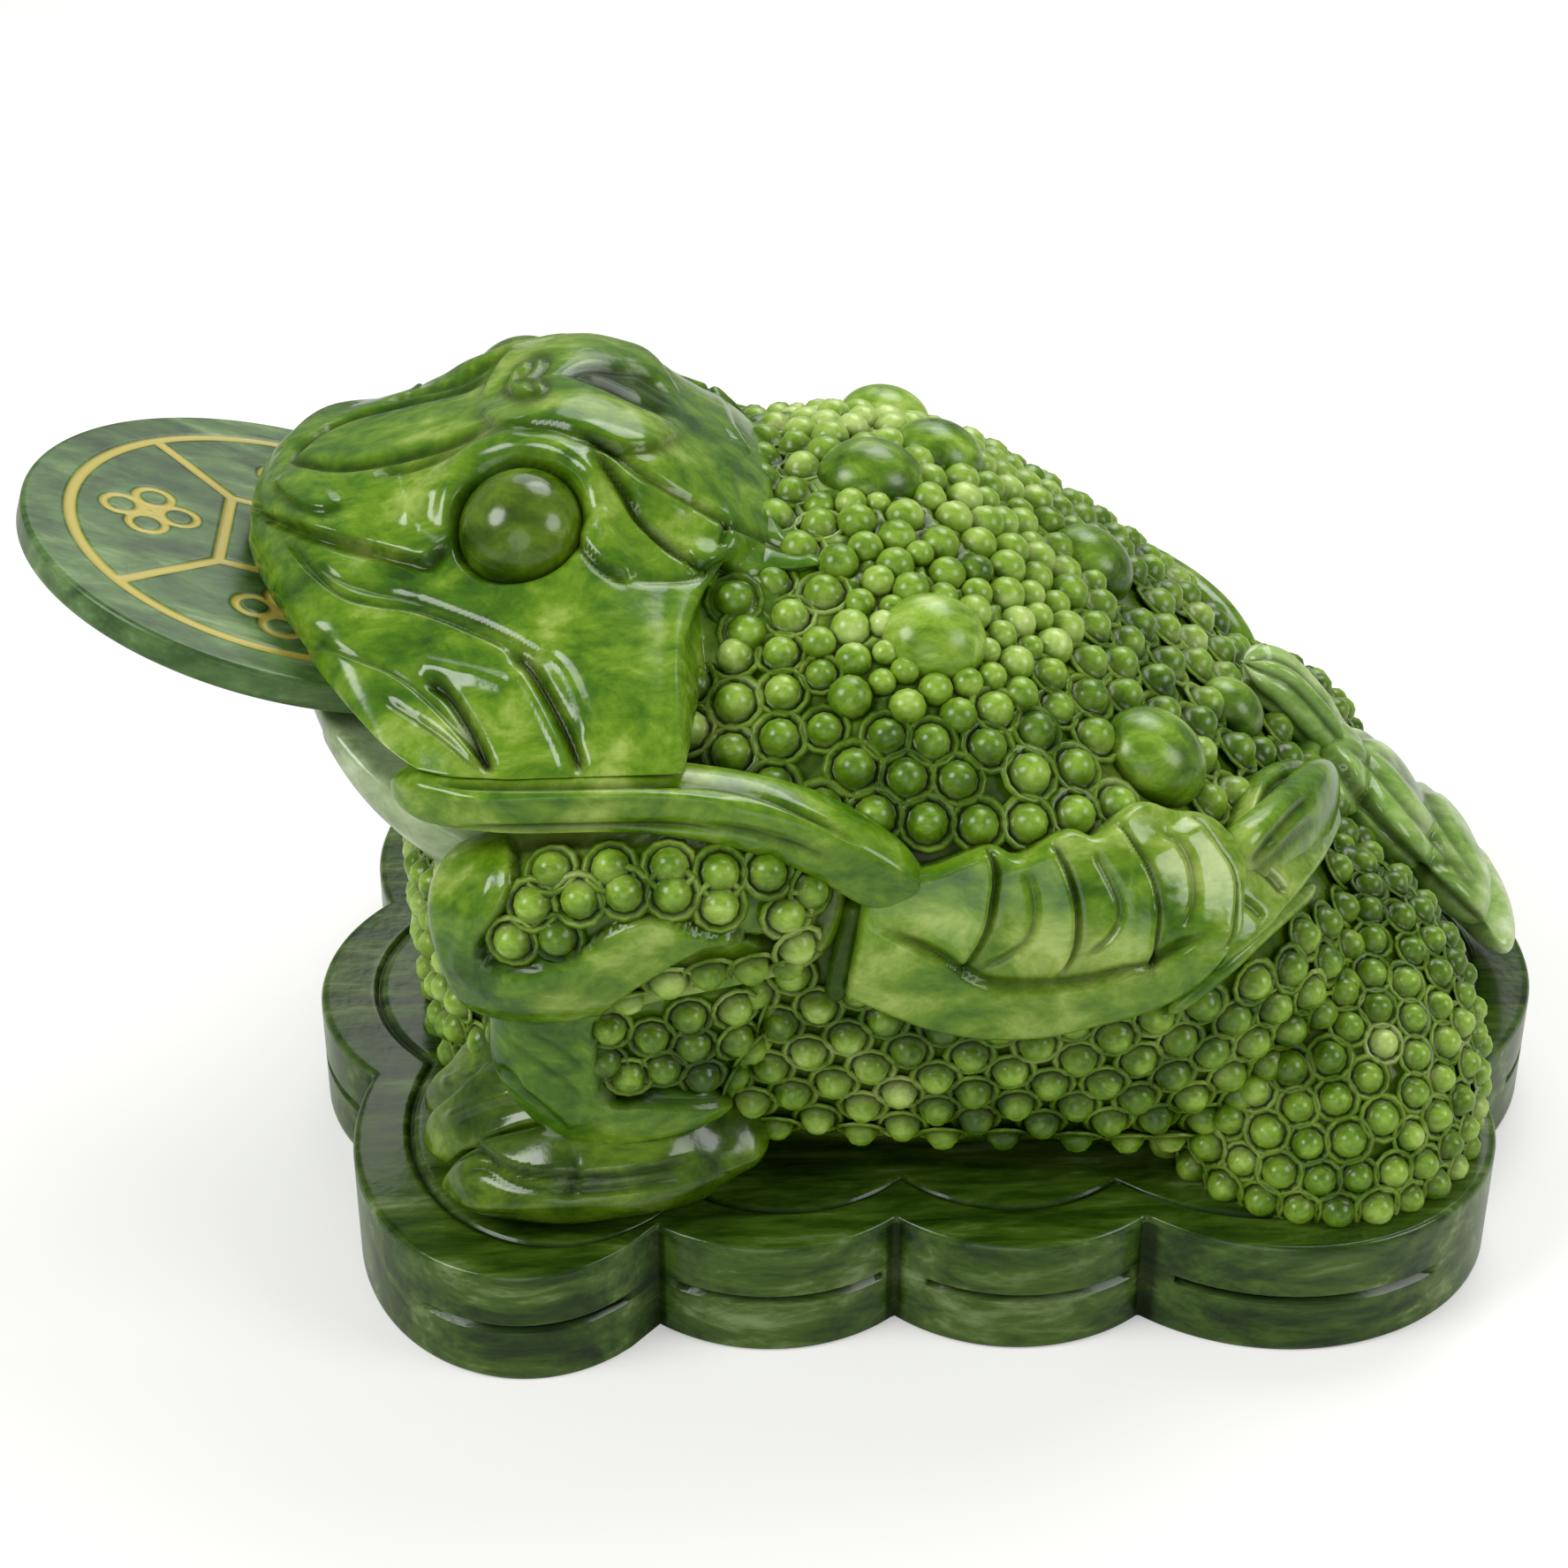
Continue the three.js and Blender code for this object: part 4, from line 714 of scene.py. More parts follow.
# warts: flattened balls whose pole stands along the trunk's nearest normal
def wartPieces():
    shape = wartShape
    ball = sphereGrid((0, 0, 0), (1, 1, 1), *shape["grid"])
    # painted shade on the underside of each wart, where it meets the trunk
    paintedShade = ramp((shape["shadeFrom"] - ball[..., 2]) / shape["shadeRun"]) * shape["shade"]
    for i, (center, radius, tint) in enumerate(zip(wartCenters, wartRadii, wartTints), 1):
        out = trunkOut.reshape(-1, 3)[np.linalg.norm(trunk - center, axis=-1).argmin()]
        side = toUnit(np.cross(out, [0, 1.0, 0]))
        axes = np.stack([side * shape["long"], np.cross(out, side), out * shape["rise"]]) * radius
        p = center - out * radius * shape["seat"] + ball @ axes
        makePiece(f"wartDome{i}", [gridBlock(p, paintedShade, tint)], beadJade, replaced=(f"wart_{i}",))


wartPieces()


# pixels of the field between two photo lines: u runs along them, v from the lower line to the upper
def fieldBetween(lines, u, v):
    low, high = alongPath(lines["lower"], u), alongPath(lines["upper"], u)
    return low[:, None] * (1 - v)[None, :, None] + high[:, None] * v[None, :, None]


# moves each inner cell of a field to the mean of itself and its four neighbours
def evenOut(field, passes):
    for _ in range(passes):
        around = field[2:, 1:-1] + field[:-2, 1:-1] + field[1:-1, 2:] + field[1:-1, :-2]
        field[1:-1, 1:-1] = 0.2 * (field[1:-1, 1:-1] + around)


# share of a plate's height: a quarter circle that rises from its rim over the width of its edge
def plateSwell(u, v, long, wide, edge):
    rim = np.minimum(np.minimum(u, 1 - u)[:, None] * long, np.minimum(v, 1 - v)[None] * wide) / edge
    return np.sqrt(np.clip(1 - np.maximum(1 - rim, 0) ** 2, 0, 1))


# closed block of a plate's top and its unseen underside
def plateBlock(top, bottom, paintedShade, tint=0.5):
    under = bottom[:, ::-1][:, 1:-1]
    return gridBlock(np.concatenate([top, under], 1), np.concatenate([paintedShade, np.zeros(under.shape[:2])], 1), tint)


# relief plate: the field between two photo lines, laid on the trunk and raised by (share, height) rows along it,
# rounded off within the edge's width, carved, and closed underneath
def carvedRelief(lines):
    along, across = lines["grid"]
    sink = lines["sink"]
    u, v = np.linspace(0, 1, along), np.linspace(0, 1, across)
    spots, out = castOnGrid(trunk, trunkOut, fieldBetween(lines, u, v).reshape(-1, 2))
    spots, out = spots.reshape(along, across, 3), out.reshape(along, across, 3)
    evenOut(out, lines["passes"])
    out = toUnit(out)
    long = np.linalg.norm(np.gradient(spots, axis=0), axis=-1).mean() * along
    wide = np.linalg.norm(np.gradient(spots, axis=1), axis=-1).mean(1)[:, None] * across
    swell = plateSwell(u, v, long, wide, lines["edge"])
    height = alongTable(lines["rise"], u)[:, None]
    top, paintedShade = carve(spots + out * ((height + sink) * swell - sink)[..., None], out, lines["strokes"])
    return plateBlock(top, spots - out * sink, paintedShade, lines["tint"])


# head in millimetres, with its eye and the beads at its cheek in photo pixels
headShape = {
    "nose": -104.0, "rear": -26.0, "halfWidth": 64.0, "lip": 100.0, "cheek": 91.6, "tilt": 17.3,
    "slotEnd": -57.0, "roundness": 1.75, "rows": 230, "around": 330, "under": 40, "capHeight": 92.0,
    # the nape draws in behind this x: at once behind the cheek, over a longer run behind the temple
    "nape": 24.0, "napeStart": -42, "napeRun": 4.5, "templeRun": 11.5, "templeFrom": 0.5, "templeBand": 0.3,
    # ahead of and behind these x, and over these runs, the sections are plain superellipses
    "roundAhead": -80, "aheadRun": 16, "roundBehind": -44, "behindRun": 14,
    "lipBand": 15, "lipRun": 6, "lipPasses": 36,
    "top": [(-104, 100), (-103.3, 103.7), (-101.5, 106.8), (-98, 109.5), (-92, 112.3), (-82, 114.5), (-72, 117),
            (-62, 121.3), (-54, 123), (-46, 121), (-38, 115.5), (-30, 110.5), (-26, 107)],
    # half width against the length, seen from above: a pointed snout that opens into full cheeks
    "plan": [(0, 0), (0.006, 0.075), (0.02, 0.15), (0.051, 0.255), (0.089, 0.39), (0.132, 0.525), (0.187, 0.68),
             (0.24, 0.795), (0.287, 0.88), (0.34, 0.94), (0.42, 0.98), (0.52, 1), (1, 1)],
    # height of a section against its half width, over the eyes: a flat crown, steep lids, then a sloping cheek
    "crown": [(0, 1), (0.14, 0.995), (0.24, 0.965), (0.31, 0.9), (0.4, 0.74), (0.5, 0.58), (0.7, 0.36), (0.85, 0.2),
              (0.95, 0.075), (1, 0)],
    "eyePixel": (585, 589), "eyeRadius": 9.3, "eyeSink": 4.4, "eyeGrid": (56, 72), "eyeTint": 0.42, "eyeShade": 0.9,
    "eyeShadeFrom": 0.28, "eyeShadeRun": 0.4, "socket": 8.6, "socketWidth": 1.0, "socketDepth": 2.2, "socketReach": 14,
    "cheekBeads": [(831, 678), (846, 716)], "cheekBead": 2.9, "cheekBeadSink": 0.4, "cheekBeadTint": 0.2,
}
headStrokes = [
    # snout: edge of the flat top, two chisel lines, the nostril and the fold that runs back to the eye
    ("ridge", 0.9, 1.6, [(338, 468), (403, 466), (462, 461), (505, 452), (540, 444)]),
    ("groove", 1.0, 0.8, [(300, 508), (341, 524), (394, 528), (462, 514), (507, 501), (562, 479)]),
    ("groove", 0.8, 0.7, [(420, 537), (462, 529), (498, 517), (535, 503), (572, 489)]),
    ("fold", 0.8, 0.9, [(312, 545), (339, 574), (371, 583), (392, 568)], -1, 3.0),
    ("ridge", 0.9, 1.7, [(452, 602), (472, 572), (494, 549), (525, 523), (562, 497), (604, 485)]),
    ("fold", 1.7, 0.9, [(276, 572), (320, 590), (363, 606), (417, 621), (463, 633), (484, 637), (501, 622),
                        (514, 602)], -1, 6.0),
    # lids, and the brow as a leaf that overhangs them
    ("ridge", 1.2, 1.8, [(498, 612), (507, 566), (533, 527), (575, 507), (615, 504), (648, 518), (668, 545),
                         (680, 580), (692, 615), (714, 652)]),
    ("fold", 0.9, 1.1, [(541, 446), (545, 464), (557, 479), (578, 485), (602, 480), (634, 482), (671, 496),
                        (703, 506), (735, 505), (764, 494), (778, 478)], -1, 4.0),
    ("groove", 0.8, 0.8, [(768, 474), (725, 453), (689, 435), (657, 424), (630, 417), (596, 419)]),
    ("ridge", 0.5, 1.0, [(776, 468), (730, 444), (690, 427), (650, 413), (610, 408)]),
    ("plate", 1.1, 1.0, [(574, 441), (584, 433), (598, 431), (612, 436), (616, 443), (604, 450), (588, 451)]),
    ("groove", 0.6, 0.7, [(584, 443), (592, 437), (602, 438), (606, 444), (598, 447)]),
    ("groove", 0.9, 1.7, [(626, 398), (664, 412), (694, 426), (728, 440), (775, 458)]),
    # temple strips behind the eye
    ("groove", 0.9, 0.8, [(640, 480), (683, 503), (723, 533), (750, 550), (780, 567), (820, 590), (870, 612),
                          (922, 630)]),
    ("ridge", 0.7, 1.2, [(656, 497), (680, 517), (707, 540), (740, 560), (780, 580), (825, 604), (880, 622)]),
    ("groove", 1.5, 0.9, [(664, 500), (690, 533), (707, 557), (723, 587), (750, 613), (780, 633), (812, 644),
                          (850, 647)]),
    ("ridge", 0.8, 1.1, [(652, 515), (687, 557), (707, 587), (733, 613), (760, 634), (795, 648)]),
    ("groove", 0.7, 0.6, [(824, 588), (820, 602), (817, 618)]),
    ("fold", 1.2, 0.8, [(646, 592), (660, 615), (680, 638), (716, 659)], -1, 4.0),
    ("groove", 0.5, 0.7, [(706, 656), (760, 656), (803, 652), (850, 651), (900, 646)]),
    # cheek: the roll of the lip, long lines that start at it, and the two gills they end in
    ("ridge", 0.9, 2.0, [(286, 590), (305, 640), (335, 688), (370, 722)]),
    ("fold", 1.0, 0.8, [(312, 600), (330, 622), (355, 652), (388, 679), (426, 689), (467, 694), (505, 706),
                        (538, 720), (563, 731), (592, 750)], 1, 5.0),
    ("groove", 0.5, 0.7, [(336, 616), (376, 650), (417, 666), (467, 677), (513, 693), (555, 710), (597, 731),
                          (636, 756)]),
    ("groove", 1.5, 1.1, [(572, 732), (598, 752), (617, 781), (635, 814), (649, 845), (660, 882)]),
    ("ridge", 0.5, 1.0, [(576, 748), (598, 778), (616, 812), (634, 850), (646, 884)]),
    ("ridge", 0.6, 1.0, [(612, 736), (638, 757), (656, 793), (668, 840)]),
    ("fold", 0.8, 0.7, [(346, 720), (363, 731), (405, 750), (447, 768), (480, 793), (509, 822), (538, 856),
                        (556, 880)], 1, 4.0),
    ("groove", 1.2, 1.1, [(476, 766), (504, 784), (525, 813), (542, 845), (557, 880)]),
    ("groove", 0.45, 0.7, [(430, 790), (480, 822), (513, 847), (545, 878)]),
    ("ridge", 0.7, 1.4, [(466, 751), (505, 759), (545, 768), (585, 778)]),
]


# plane of the upper lip, rising towards the nose
def lipPlane(x):
    slope = math.tan(math.radians(headShape["tilt"]))
    return headShape["lip"] - slope * (np.minimum(x, headShape["slotEnd"]) - headShape["nose"])


# rounds off the edges at both ends of an arc of each section by averaging neighbours round the section
def softenEdges(p, arc, band, run, passes):
    count = p.shape[1]
    gap = np.abs((np.arange(count)[:, None] - np.array([0, arc - 1]) + count / 2) % count - count / 2).min(1)
    soft = ramp((band - gap) / run)[None, :, None]
    for _ in range(passes):
        p = p + soft * (0.25 * (np.roll(p, 1, 1) + np.roll(p, -1, 1)) - 0.5 * p)
    return p


# head: sections over the lip plane, superellipses at snout and nape and the crown's table between, drawn in at the nape
def headGrid():
    shape = headShape
    long = shape["rear"] - shape["nose"]
    x = shape["nose"] + long * (1 - np.cos(np.pi * np.linspace(0, 1, shape["rows"]) / 2))
    half = shape["halfWidth"] * alongTable(shape["plan"], (x - shape["nose"]) / long)
    floor = np.maximum(lipPlane(x), shape["cheek"])
    rise = np.maximum(alongTable(shape["top"], x) - floor, 0)
    angle = np.linspace(-0.5, 0.5, shape["around"]) * np.pi
    across = signedPower(np.sin(angle), 2 / shape["roundness"])
    up = np.maximum(np.cos(angle), 0) ** (2 / shape["roundness"])
    crown = alongTable(shape["crown"], np.abs(across))
    ahead, behind = (shape["roundAhead"] - x) / shape["aheadRun"], (x - shape["roundBehind"]) / shape["behindRun"]
    roundShare = np.maximum(ramp(ahead), ramp(behind))[:, None]
    up = up * roundShare + crown * (1 - roundShare)
    under = np.cos(np.linspace(0, 1, shape["under"])[1:-1] * np.pi)
    temple = 1 - ramp((np.abs(across) - shape["templeFrom"]) / shape["templeBand"])
    run = shape["napeRun"] + shape["templeRun"] * np.concatenate([temple, 0 * under])
    taper = shape["nape"] * ramp((x[:, None] - shape["napeStart"]) / run)
    y = np.maximum(half[:, None] - taper, 0) * np.concatenate([across, under])
    z = floor[:, None] + rise[:, None] * np.concatenate([up, np.zeros((len(x), len(under)))], 1)
    p = np.stack([x[:, None] + 0 * y, y, z], -1)
    p = softenEdges(p, shape["around"], shape["lipBand"], shape["lipRun"], shape["lipPasses"])
    return np.concatenate([p, p[-1:] * 0 + [shape["rear"], 0.0, shape["capHeight"]]])


# sheet seen between two photo lines: its distance from the eye goes from the head's skin over to the trunk's
def templeSheet(headSkin, headOut):
    look = templeSkin
    along, across, sink, scale = look["along"], look["across"], look["sink"], photoView["pxPerMm"]
    u, v = np.linspace(0, 1, along), np.linspace(0, 1, across)
    pixels = fieldBetween(look, u, v)
    flat = pixels.reshape(-1, 2)
    rays = toUnit(photoRays(flat)).reshape(along, across, 3)
    onHead, onTrunk = (np.linalg.norm(castOnGrid(*skin, flat)[0] - viewPlace, axis=1).reshape(along, across)
                       for skin in ((headSkin, headOut), (trunk, trunkOut)))
    last = np.maximum.accumulate(np.where(pixels[..., 0] < look["headEnd"], np.arange(along)[:, None], 0), axis=0)
    share = ramp((pixels[..., 0] - look["headEnd"]) / look["blend"])
    t = np.take_along_axis(onHead, last, 0) * (1 - share) + onTrunk * share
    evenOut(t, look["passes"])
    low, high = pixels[:, 0], pixels[:, -1]
    wide = np.linalg.norm(high - low, axis=1)[:, None] / scale
    long = np.linalg.norm(np.diff(low, axis=0), axis=1).sum() / scale
    swell = plateSwell(u, v, long, wide, look["edge"])
    top = viewPlace + rays * (t - (alongTable(look["rise"], u)[:, None] + sink) * swell + sink)[..., None]
    out = gridNormals(top, False)
    out = out * np.sign(-(out * rays).sum())
    top, paintedShade = carve(top, out, headStrokes)
    return plateBlock(top, viewPlace + rays * (t + sink + look["thick"])[..., None], paintedShade)


# head with a socket cut round each eye, a bell of exp(-(d/width)^2) at the socket's radius, and the eyes set in it
def headPieces():
    shape = headShape
    p = headGrid()
    n = gridNormals(p)
    spot, out = castOnGrid(p, n, [shape["eyePixel"]])
    print("eye on the skin at", spot.round(1), "facing", out.round(2))
    center = spot[0] - out[0] * shape["eyeSink"]
    toSkin = nearSide(p, nearSign(p)) - center
    skin = templeSheet(p, n)
    p, paintedShade = carve(p, n, headStrokes)
    away = np.linalg.norm(np.cross(toSkin, out[0]), axis=-1)
    socket = np.exp(-(((away - shape["socket"]) / shape["socketWidth"]) ** 2))
    socket = socket * (np.linalg.norm(toSkin, axis=-1) < shape["socketReach"])
    p = p - n * (shape["socketDepth"] * socket)[..., None]
    spots, square = castOnGrid(p, n, shape["cheekBeads"])
    radii, tints = (np.full(len(spots), shape[key]) for key in ("cheekBead", "cheekBeadTint"))
    beads = beadBlock(spots - square * shape["cheekBeadSink"], square, radii, tints)
    makePiece("cheekBeads", [beads, mirrorBlock(beads)], beadJade)
    makePiece("templeSkins", [skin, mirrorBlock(skin)], jade)
    # painted shade in the chisel lines and in the socket ring round each eye
    makePiece("headCarved", [gridBlock(p, np.clip(paintedShade + socket, 0, 1))], jade,
              replaced=("head", "left_eyelid", "right_eyelid", "left_brow", "right_brow"))
    ball = sphereGrid(center, (shape["eyeRadius"],) * 3, *shape["eyeGrid"])
    # painted shade on the part of each eyeball that turns into its socket
    lift = ((ball - center) @ out[0]) / shape["eyeRadius"]
    shade = shape["eyeShade"] * ramp((shape["eyeShadeFrom"] - lift) / shape["eyeShadeRun"])
    makePair("EyeBall", "eye", [gridBlock(ball, shade, shape["eyeTint"])], darkJade)


headPieces()

# lower jaw in millimetres, its depth as shares along it, and its one fold in photo pixels
jawShape = {
    "front": -97.0, "length": 52.0, "halfWidth": 57.0, "depth": 32.0, "gap": 7.0, "droop": 8.0, "power": 3,
    "planRun": 1.09, "rows": 90, "around": 150, "inside": 40, "rimBand": 10, "rimRun": 5, "rimPasses": 20,
    "bowl": [(0, 0), (0.02, 0.24), (0.09, 0.5), (0.24, 0.73), (0.44, 0.86), (0.72, 0.95), (1, 1)],
    "strokes": [("fold", 1.0, 0.8, [(356, 815), (371, 852), (390, 888), (412, 925), (436, 965),
                                    (452, 1000)], -1, 5.0)],
}


# lower jaw: a shallow bowl under the lip plane with a superellipse for its plan and a rim that droops with |y|^power
def jawPiece():
    shape = jawShape
    along = 1 - np.cos(np.pi * np.linspace(0, 1, shape["rows"]) / 2)
    x = shape["front"] + shape["length"] * along
    reach = shape["length"] * shape["planRun"]
    plan = np.clip((shape["front"] + reach - x) / reach, 0, 1)
    half = shape["halfWidth"] * (1 - plan ** shape["power"]) ** (1 / shape["power"])
    angle = np.linspace(-0.5, 0.5, shape["around"]) * np.pi
    inner = np.cos(np.linspace(0, 1, shape["inside"])[1:-1] * np.pi)
    y = half[:, None] * np.concatenate([np.sin(angle), inner])
    hang = np.concatenate([np.cos(angle), 0 * inner]) * (alongTable(shape["bowl"], along) * shape["depth"])[:, None]
    droop = shape["droop"] * (np.abs(y) / shape["halfWidth"]) ** shape["power"]
    p = np.stack([x[:, None] + 0 * y, y, lipPlane(x)[:, None] - shape["gap"] - droop - hang], -1)
    p = softenEdges(p, shape["around"], shape["rimBand"], shape["rimRun"], shape["rimPasses"])
    p = np.concatenate([p, p[-1:] * 0 + p[-1].mean(0)])
    p, paintedShade = carve(p, gridNormals(p), shape["strokes"])
    # the jaw wears the grey copy of the jade, a painted reflection of the white backdrop
    makePiece("jawCarved", [gridBlock(p, paintedShade)], greyJade, replaced=("lower_jaw",))


jawPiece()

upZ, upY = np.array([0, 0, 1.0]), np.array([0, 1.0, 0])


# limb on both sides: its grid carved along its strokes, with a ringed bead on the skin at each bead's photo pixel
def limbPair(look):
    p = limbGrid(look["rows"], look["up"], *look["grid"], look["power"])
    n = gridNormals(p)
    centers, normals = castOnGrid(p, n, look["beads"]) if look["beads"] else ([], [])
    p, paintedShade = carve(p, n, look["strokes"])
    makePair(look["name"] + "Carved", look["node"], [gridBlock(p, paintedShade, look["tint"])], jade)
    if look["beads"]:
        radii = np.full(len(centers), look["bead"])
        tints = beadTints(look["beadTint"], look["beadSpread"], len(centers))
        beads = beadBlock(centers - normals * look["beadSink"], normals, radii, tints)
        makePair(look["name"] + "Beads", None, [beads], beadJade)


# collar: a flattened roll under the cheek that ends in a rounded tip on the flank
collarShape = {
    "name": "Collar", "node": "collar", "slot": "pale_jade", "up": upZ, "grid": (170, 110), "power": 4.2, "tint": 0.6,
    "rows": [(-81, -56, 87.2, 8, 7), (-66, -61.5, 87.8, 10, 7.4), (-45, -62, 87.2, 10.5, 7.6),
             (-25, -64, 82.4, 10, 9), (-9, -67, 72, 7, 9.5)],
    "strokes": [
        ("groove", 0.9, 0.6, [(470, 884), (520, 888), (572, 889), (680, 888), (780, 886), (850, 896), (920, 925),
                              (985, 962)]),
        ("groove", 0.9, 0.6, [(505, 936), (560, 939), (634, 938), (756, 936), (859, 944), (900, 958), (960, 985)]),
        ("ridge", 0.5, 0.8, [(490, 900), (560, 905), (640, 902), (760, 902), (850, 912)]),
    ],
    "beads": [],
}
limbPair(collarShape)

# upper arm: two beaded panels sunk inside a smooth rim that swells at the elbow
armShape = {
    "name": "Arm", "node": "upper_arm", "slot": "jade", "up": upZ, "grid": (150, 150), "power": 2.4, "tint": 0.5,
    "rows": [(-75, -56, 63.5, 17, 22), (-62, -61.5, 67, 22, 28.5), (-44, -63.5, 71, 22, 26), (-19, -61, 71, 16, 21)],
    "strokes": [
        ("plate", -2.2, 0.6, [(578, 945), (578, 995), (565, 1033), (540, 1070), (544, 1091), (573, 1103), (615, 1099),
                              (661, 1078), (690, 1058), (723, 1045), (757, 1045), (794, 1058), (840, 1066),
                              (880, 1090), (920, 1085), (950, 1020), (940, 985), (900, 962), (830, 950), (750, 942),
                              (660, 940)]),
        ("plate", -2.4, 0.6, [(668, 1168), (692, 1143), (734, 1114), (775, 1089), (809, 1076), (872, 1071),
                              (935, 1085), (965, 1130), (900, 1195), (700, 1205)]),
        ("ridge", 0.4, 1.0, [(560, 960), (550, 1010), (522, 1065), (518, 1095), (548, 1120), (600, 1122), (660, 1102),
                             (720, 1072), (780, 1062), (840, 1070)]),
    ],
    "beads": [(758, 1122), (804, 1112), (853, 1106), (908, 1080), (718, 1149), (899, 1116), (620, 979), (689, 977),
              (758, 975), (818, 986), (873, 986), (926, 1010), (598, 1026), (653, 1020), (705, 1012), (762, 1014),
              (818, 1030), (895, 1042), (576, 1071), (628, 1068)],
    "bead": 2.6, "beadSink": 1.5, "beadTint": 0.45, "beadSpread": 0.25,
}
limbPair(armShape)

# forearm: a column that narrows downwards, beaded outside, smooth where it faces forward
forearmShape = {
    "name": "Forearm", "node": "forearm", "slot": "jade", "up": upY, "grid": (110, 170), "power": 2.8, "tint": 0.5,
    "rows": [(-46, -57.5, 63, 40, 21), (-50, -57, 46, 40, 21), (-47.5, -55, 30.5, 25, 21)],
    "strokes": [
        ("plate", -2.0, 0.7, [(672, 1164), (720, 1125), (790, 1095), (870, 1080), (905, 1110), (905, 1180),
                              (890, 1225), (840, 1240), (760, 1240), (690, 1244)]),
        ("ridge", 0.8, 0.8, [(585, 1220), (612, 1242), (635, 1262), (655, 1278)]),
        ("ridge", 0.9, 0.9, [(666, 1156), (671, 1190), (670, 1225), (664, 1258), (656, 1284)]),
        ("groove", 0.6, 0.7, [(560, 1206), (590, 1230), (620, 1254), (650, 1280)]),
        ("groove", 0.5, 0.6, [(572, 1178), (606, 1202), (640, 1228), (660, 1246)]),
        ("groove", 0.5, 0.6, [(596, 1168), (630, 1188), (662, 1212)]),
        ("fold", 1.0, 0.7, [(668, 1252), (740, 1251), (815, 1249), (877, 1220)], 1, 4.0),
    ],
    "beads": [(781, 1158), (836, 1149), (882, 1146), (689, 1171), (738, 1181), (787, 1191), (840, 1184), (886, 1185),
              (684, 1209), (712, 1226), (752, 1217), (798, 1226), (843, 1221), (882, 1220)],
    "bead": 2.45, "beadSink": 1.25, "beadTint": 0.35, "beadSpread": 0.25,
}
limbPair(forearmShape)

# front foot: three toes side by side under a rounded instep
footShape = {
    "grid": (110, 100), "power": 1.4, "toeGrid": (100, 100), "toePower": 1.36, "toeBlunt": 0.22, "toeTint": 0.35,
    "shade": 0.5, "shadeHeight": 3,
    "rows": [(-64, -52, 23, 20, 14), (-55, -54, 25, 26, 19), (-44, -54, 25.5, 27, 19), (-30, -51, 26, 21, 16)],
    "strokes": [("groove", 0.6, 0.8, [(665, 1288), (740, 1296), (835, 1290)])],
    "toes": [[(-81, -40.5, 21, 5, 7), (-74, -43, 24, 10, 13), (-64, -46.5, 30.5, 12, 22), (-54, -49, 34, 12, 24)],
             [(-81, -48.5, 20, 5, 7), (-74, -51, 23, 11, 13.5), (-63, -53.5, 29, 13, 21), (-53, -54, 31.5, 13, 23)],
             [(-78, -58, 19, 5, 6), (-70, -60.5, 21.5, 13, 12.5), (-58, -62.5, 24, 15, 18), (-44, -61, 25, 15, 18),
              (-31, -55, 25, 12, 14)]],
    "toeStrokes": [
        ("fold", 1.3, 0.7, [(500, 1322), (540, 1299), (577, 1320), (627, 1329), (700, 1328), (790, 1310)], -1, 4.0),
        ("groove", 0.6, 0.7, [(515, 1334), (545, 1322), (580, 1340), (630, 1349), (700, 1346), (780, 1332)]),
        ("groove", 0.7, 0.6, [(640, 1296), (650, 1325), (642, 1362)]),
        ("ridge", 0.9, 0.8, [(536, 1292), (570, 1276), (607, 1266), (650, 1272)]),
        ("ridge", 0.8, 0.8, [(500, 1270), (540, 1250), (580, 1238), (615, 1240)]),
        ("ridge", 0.8, 0.8, [(496, 1230), (530, 1212), (562, 1202), (590, 1204)]),
    ],
}


# foot: instep and toes are limbs of their own, the toes with painted shade towards the plinth
def footPieces():
    shape = footShape
    p = limbGrid(shape["rows"], upZ, *shape["grid"], shape["power"])
    p, paintedShade = carve(p, gridNormals(p), shape["strokes"])
    blocks = [gridBlock(p, paintedShade)]
    for rows in shape["toes"]:
        toe = limbGrid(rows, upZ, *shape["toeGrid"], shape["toePower"], shape["toeBlunt"])
        toe, creaseShade = carve(toe, gridNormals(toe), shape["toeStrokes"])
        # painted shade low on the toes, where they meet the plinth, added to the painted shade of their creases
        low = shape["shade"] * ramp((seat + shape["shadeHeight"] - toe[..., 2]) / shape["shadeHeight"])
        blocks.append(gridBlock(toe, np.clip(creaseShade + low, 0, 1), shape["toeTint"]))
    makePair("FootCarved", "front_foot", blocks, darkJade)


footPieces()

# thigh in millimetres, with the rule for its beads: rows from the plinth up, where the trunk leaves them clear
thighShape = {
    "center": (54.0, -40.8, 26.0), "radii": (27.0, 28.5, 28.0), "lean": 0.42, "grid": (130, 230), "ground": 2.2,
    "bead": 3.15, "spread": 0.1, "mostSpread": 1.5, "gap": 0.0, "dome": 0.82, "sink": 1.2, "clear": 1.5,
    "overlap": -0.5, "trunkStep": 6, "rowHeight": 0.5, "rowTie": 0.001, "rowTurn": 57,
    "shade": 0.6, "tint": 0.45, "tintSpread": 0.16,
}


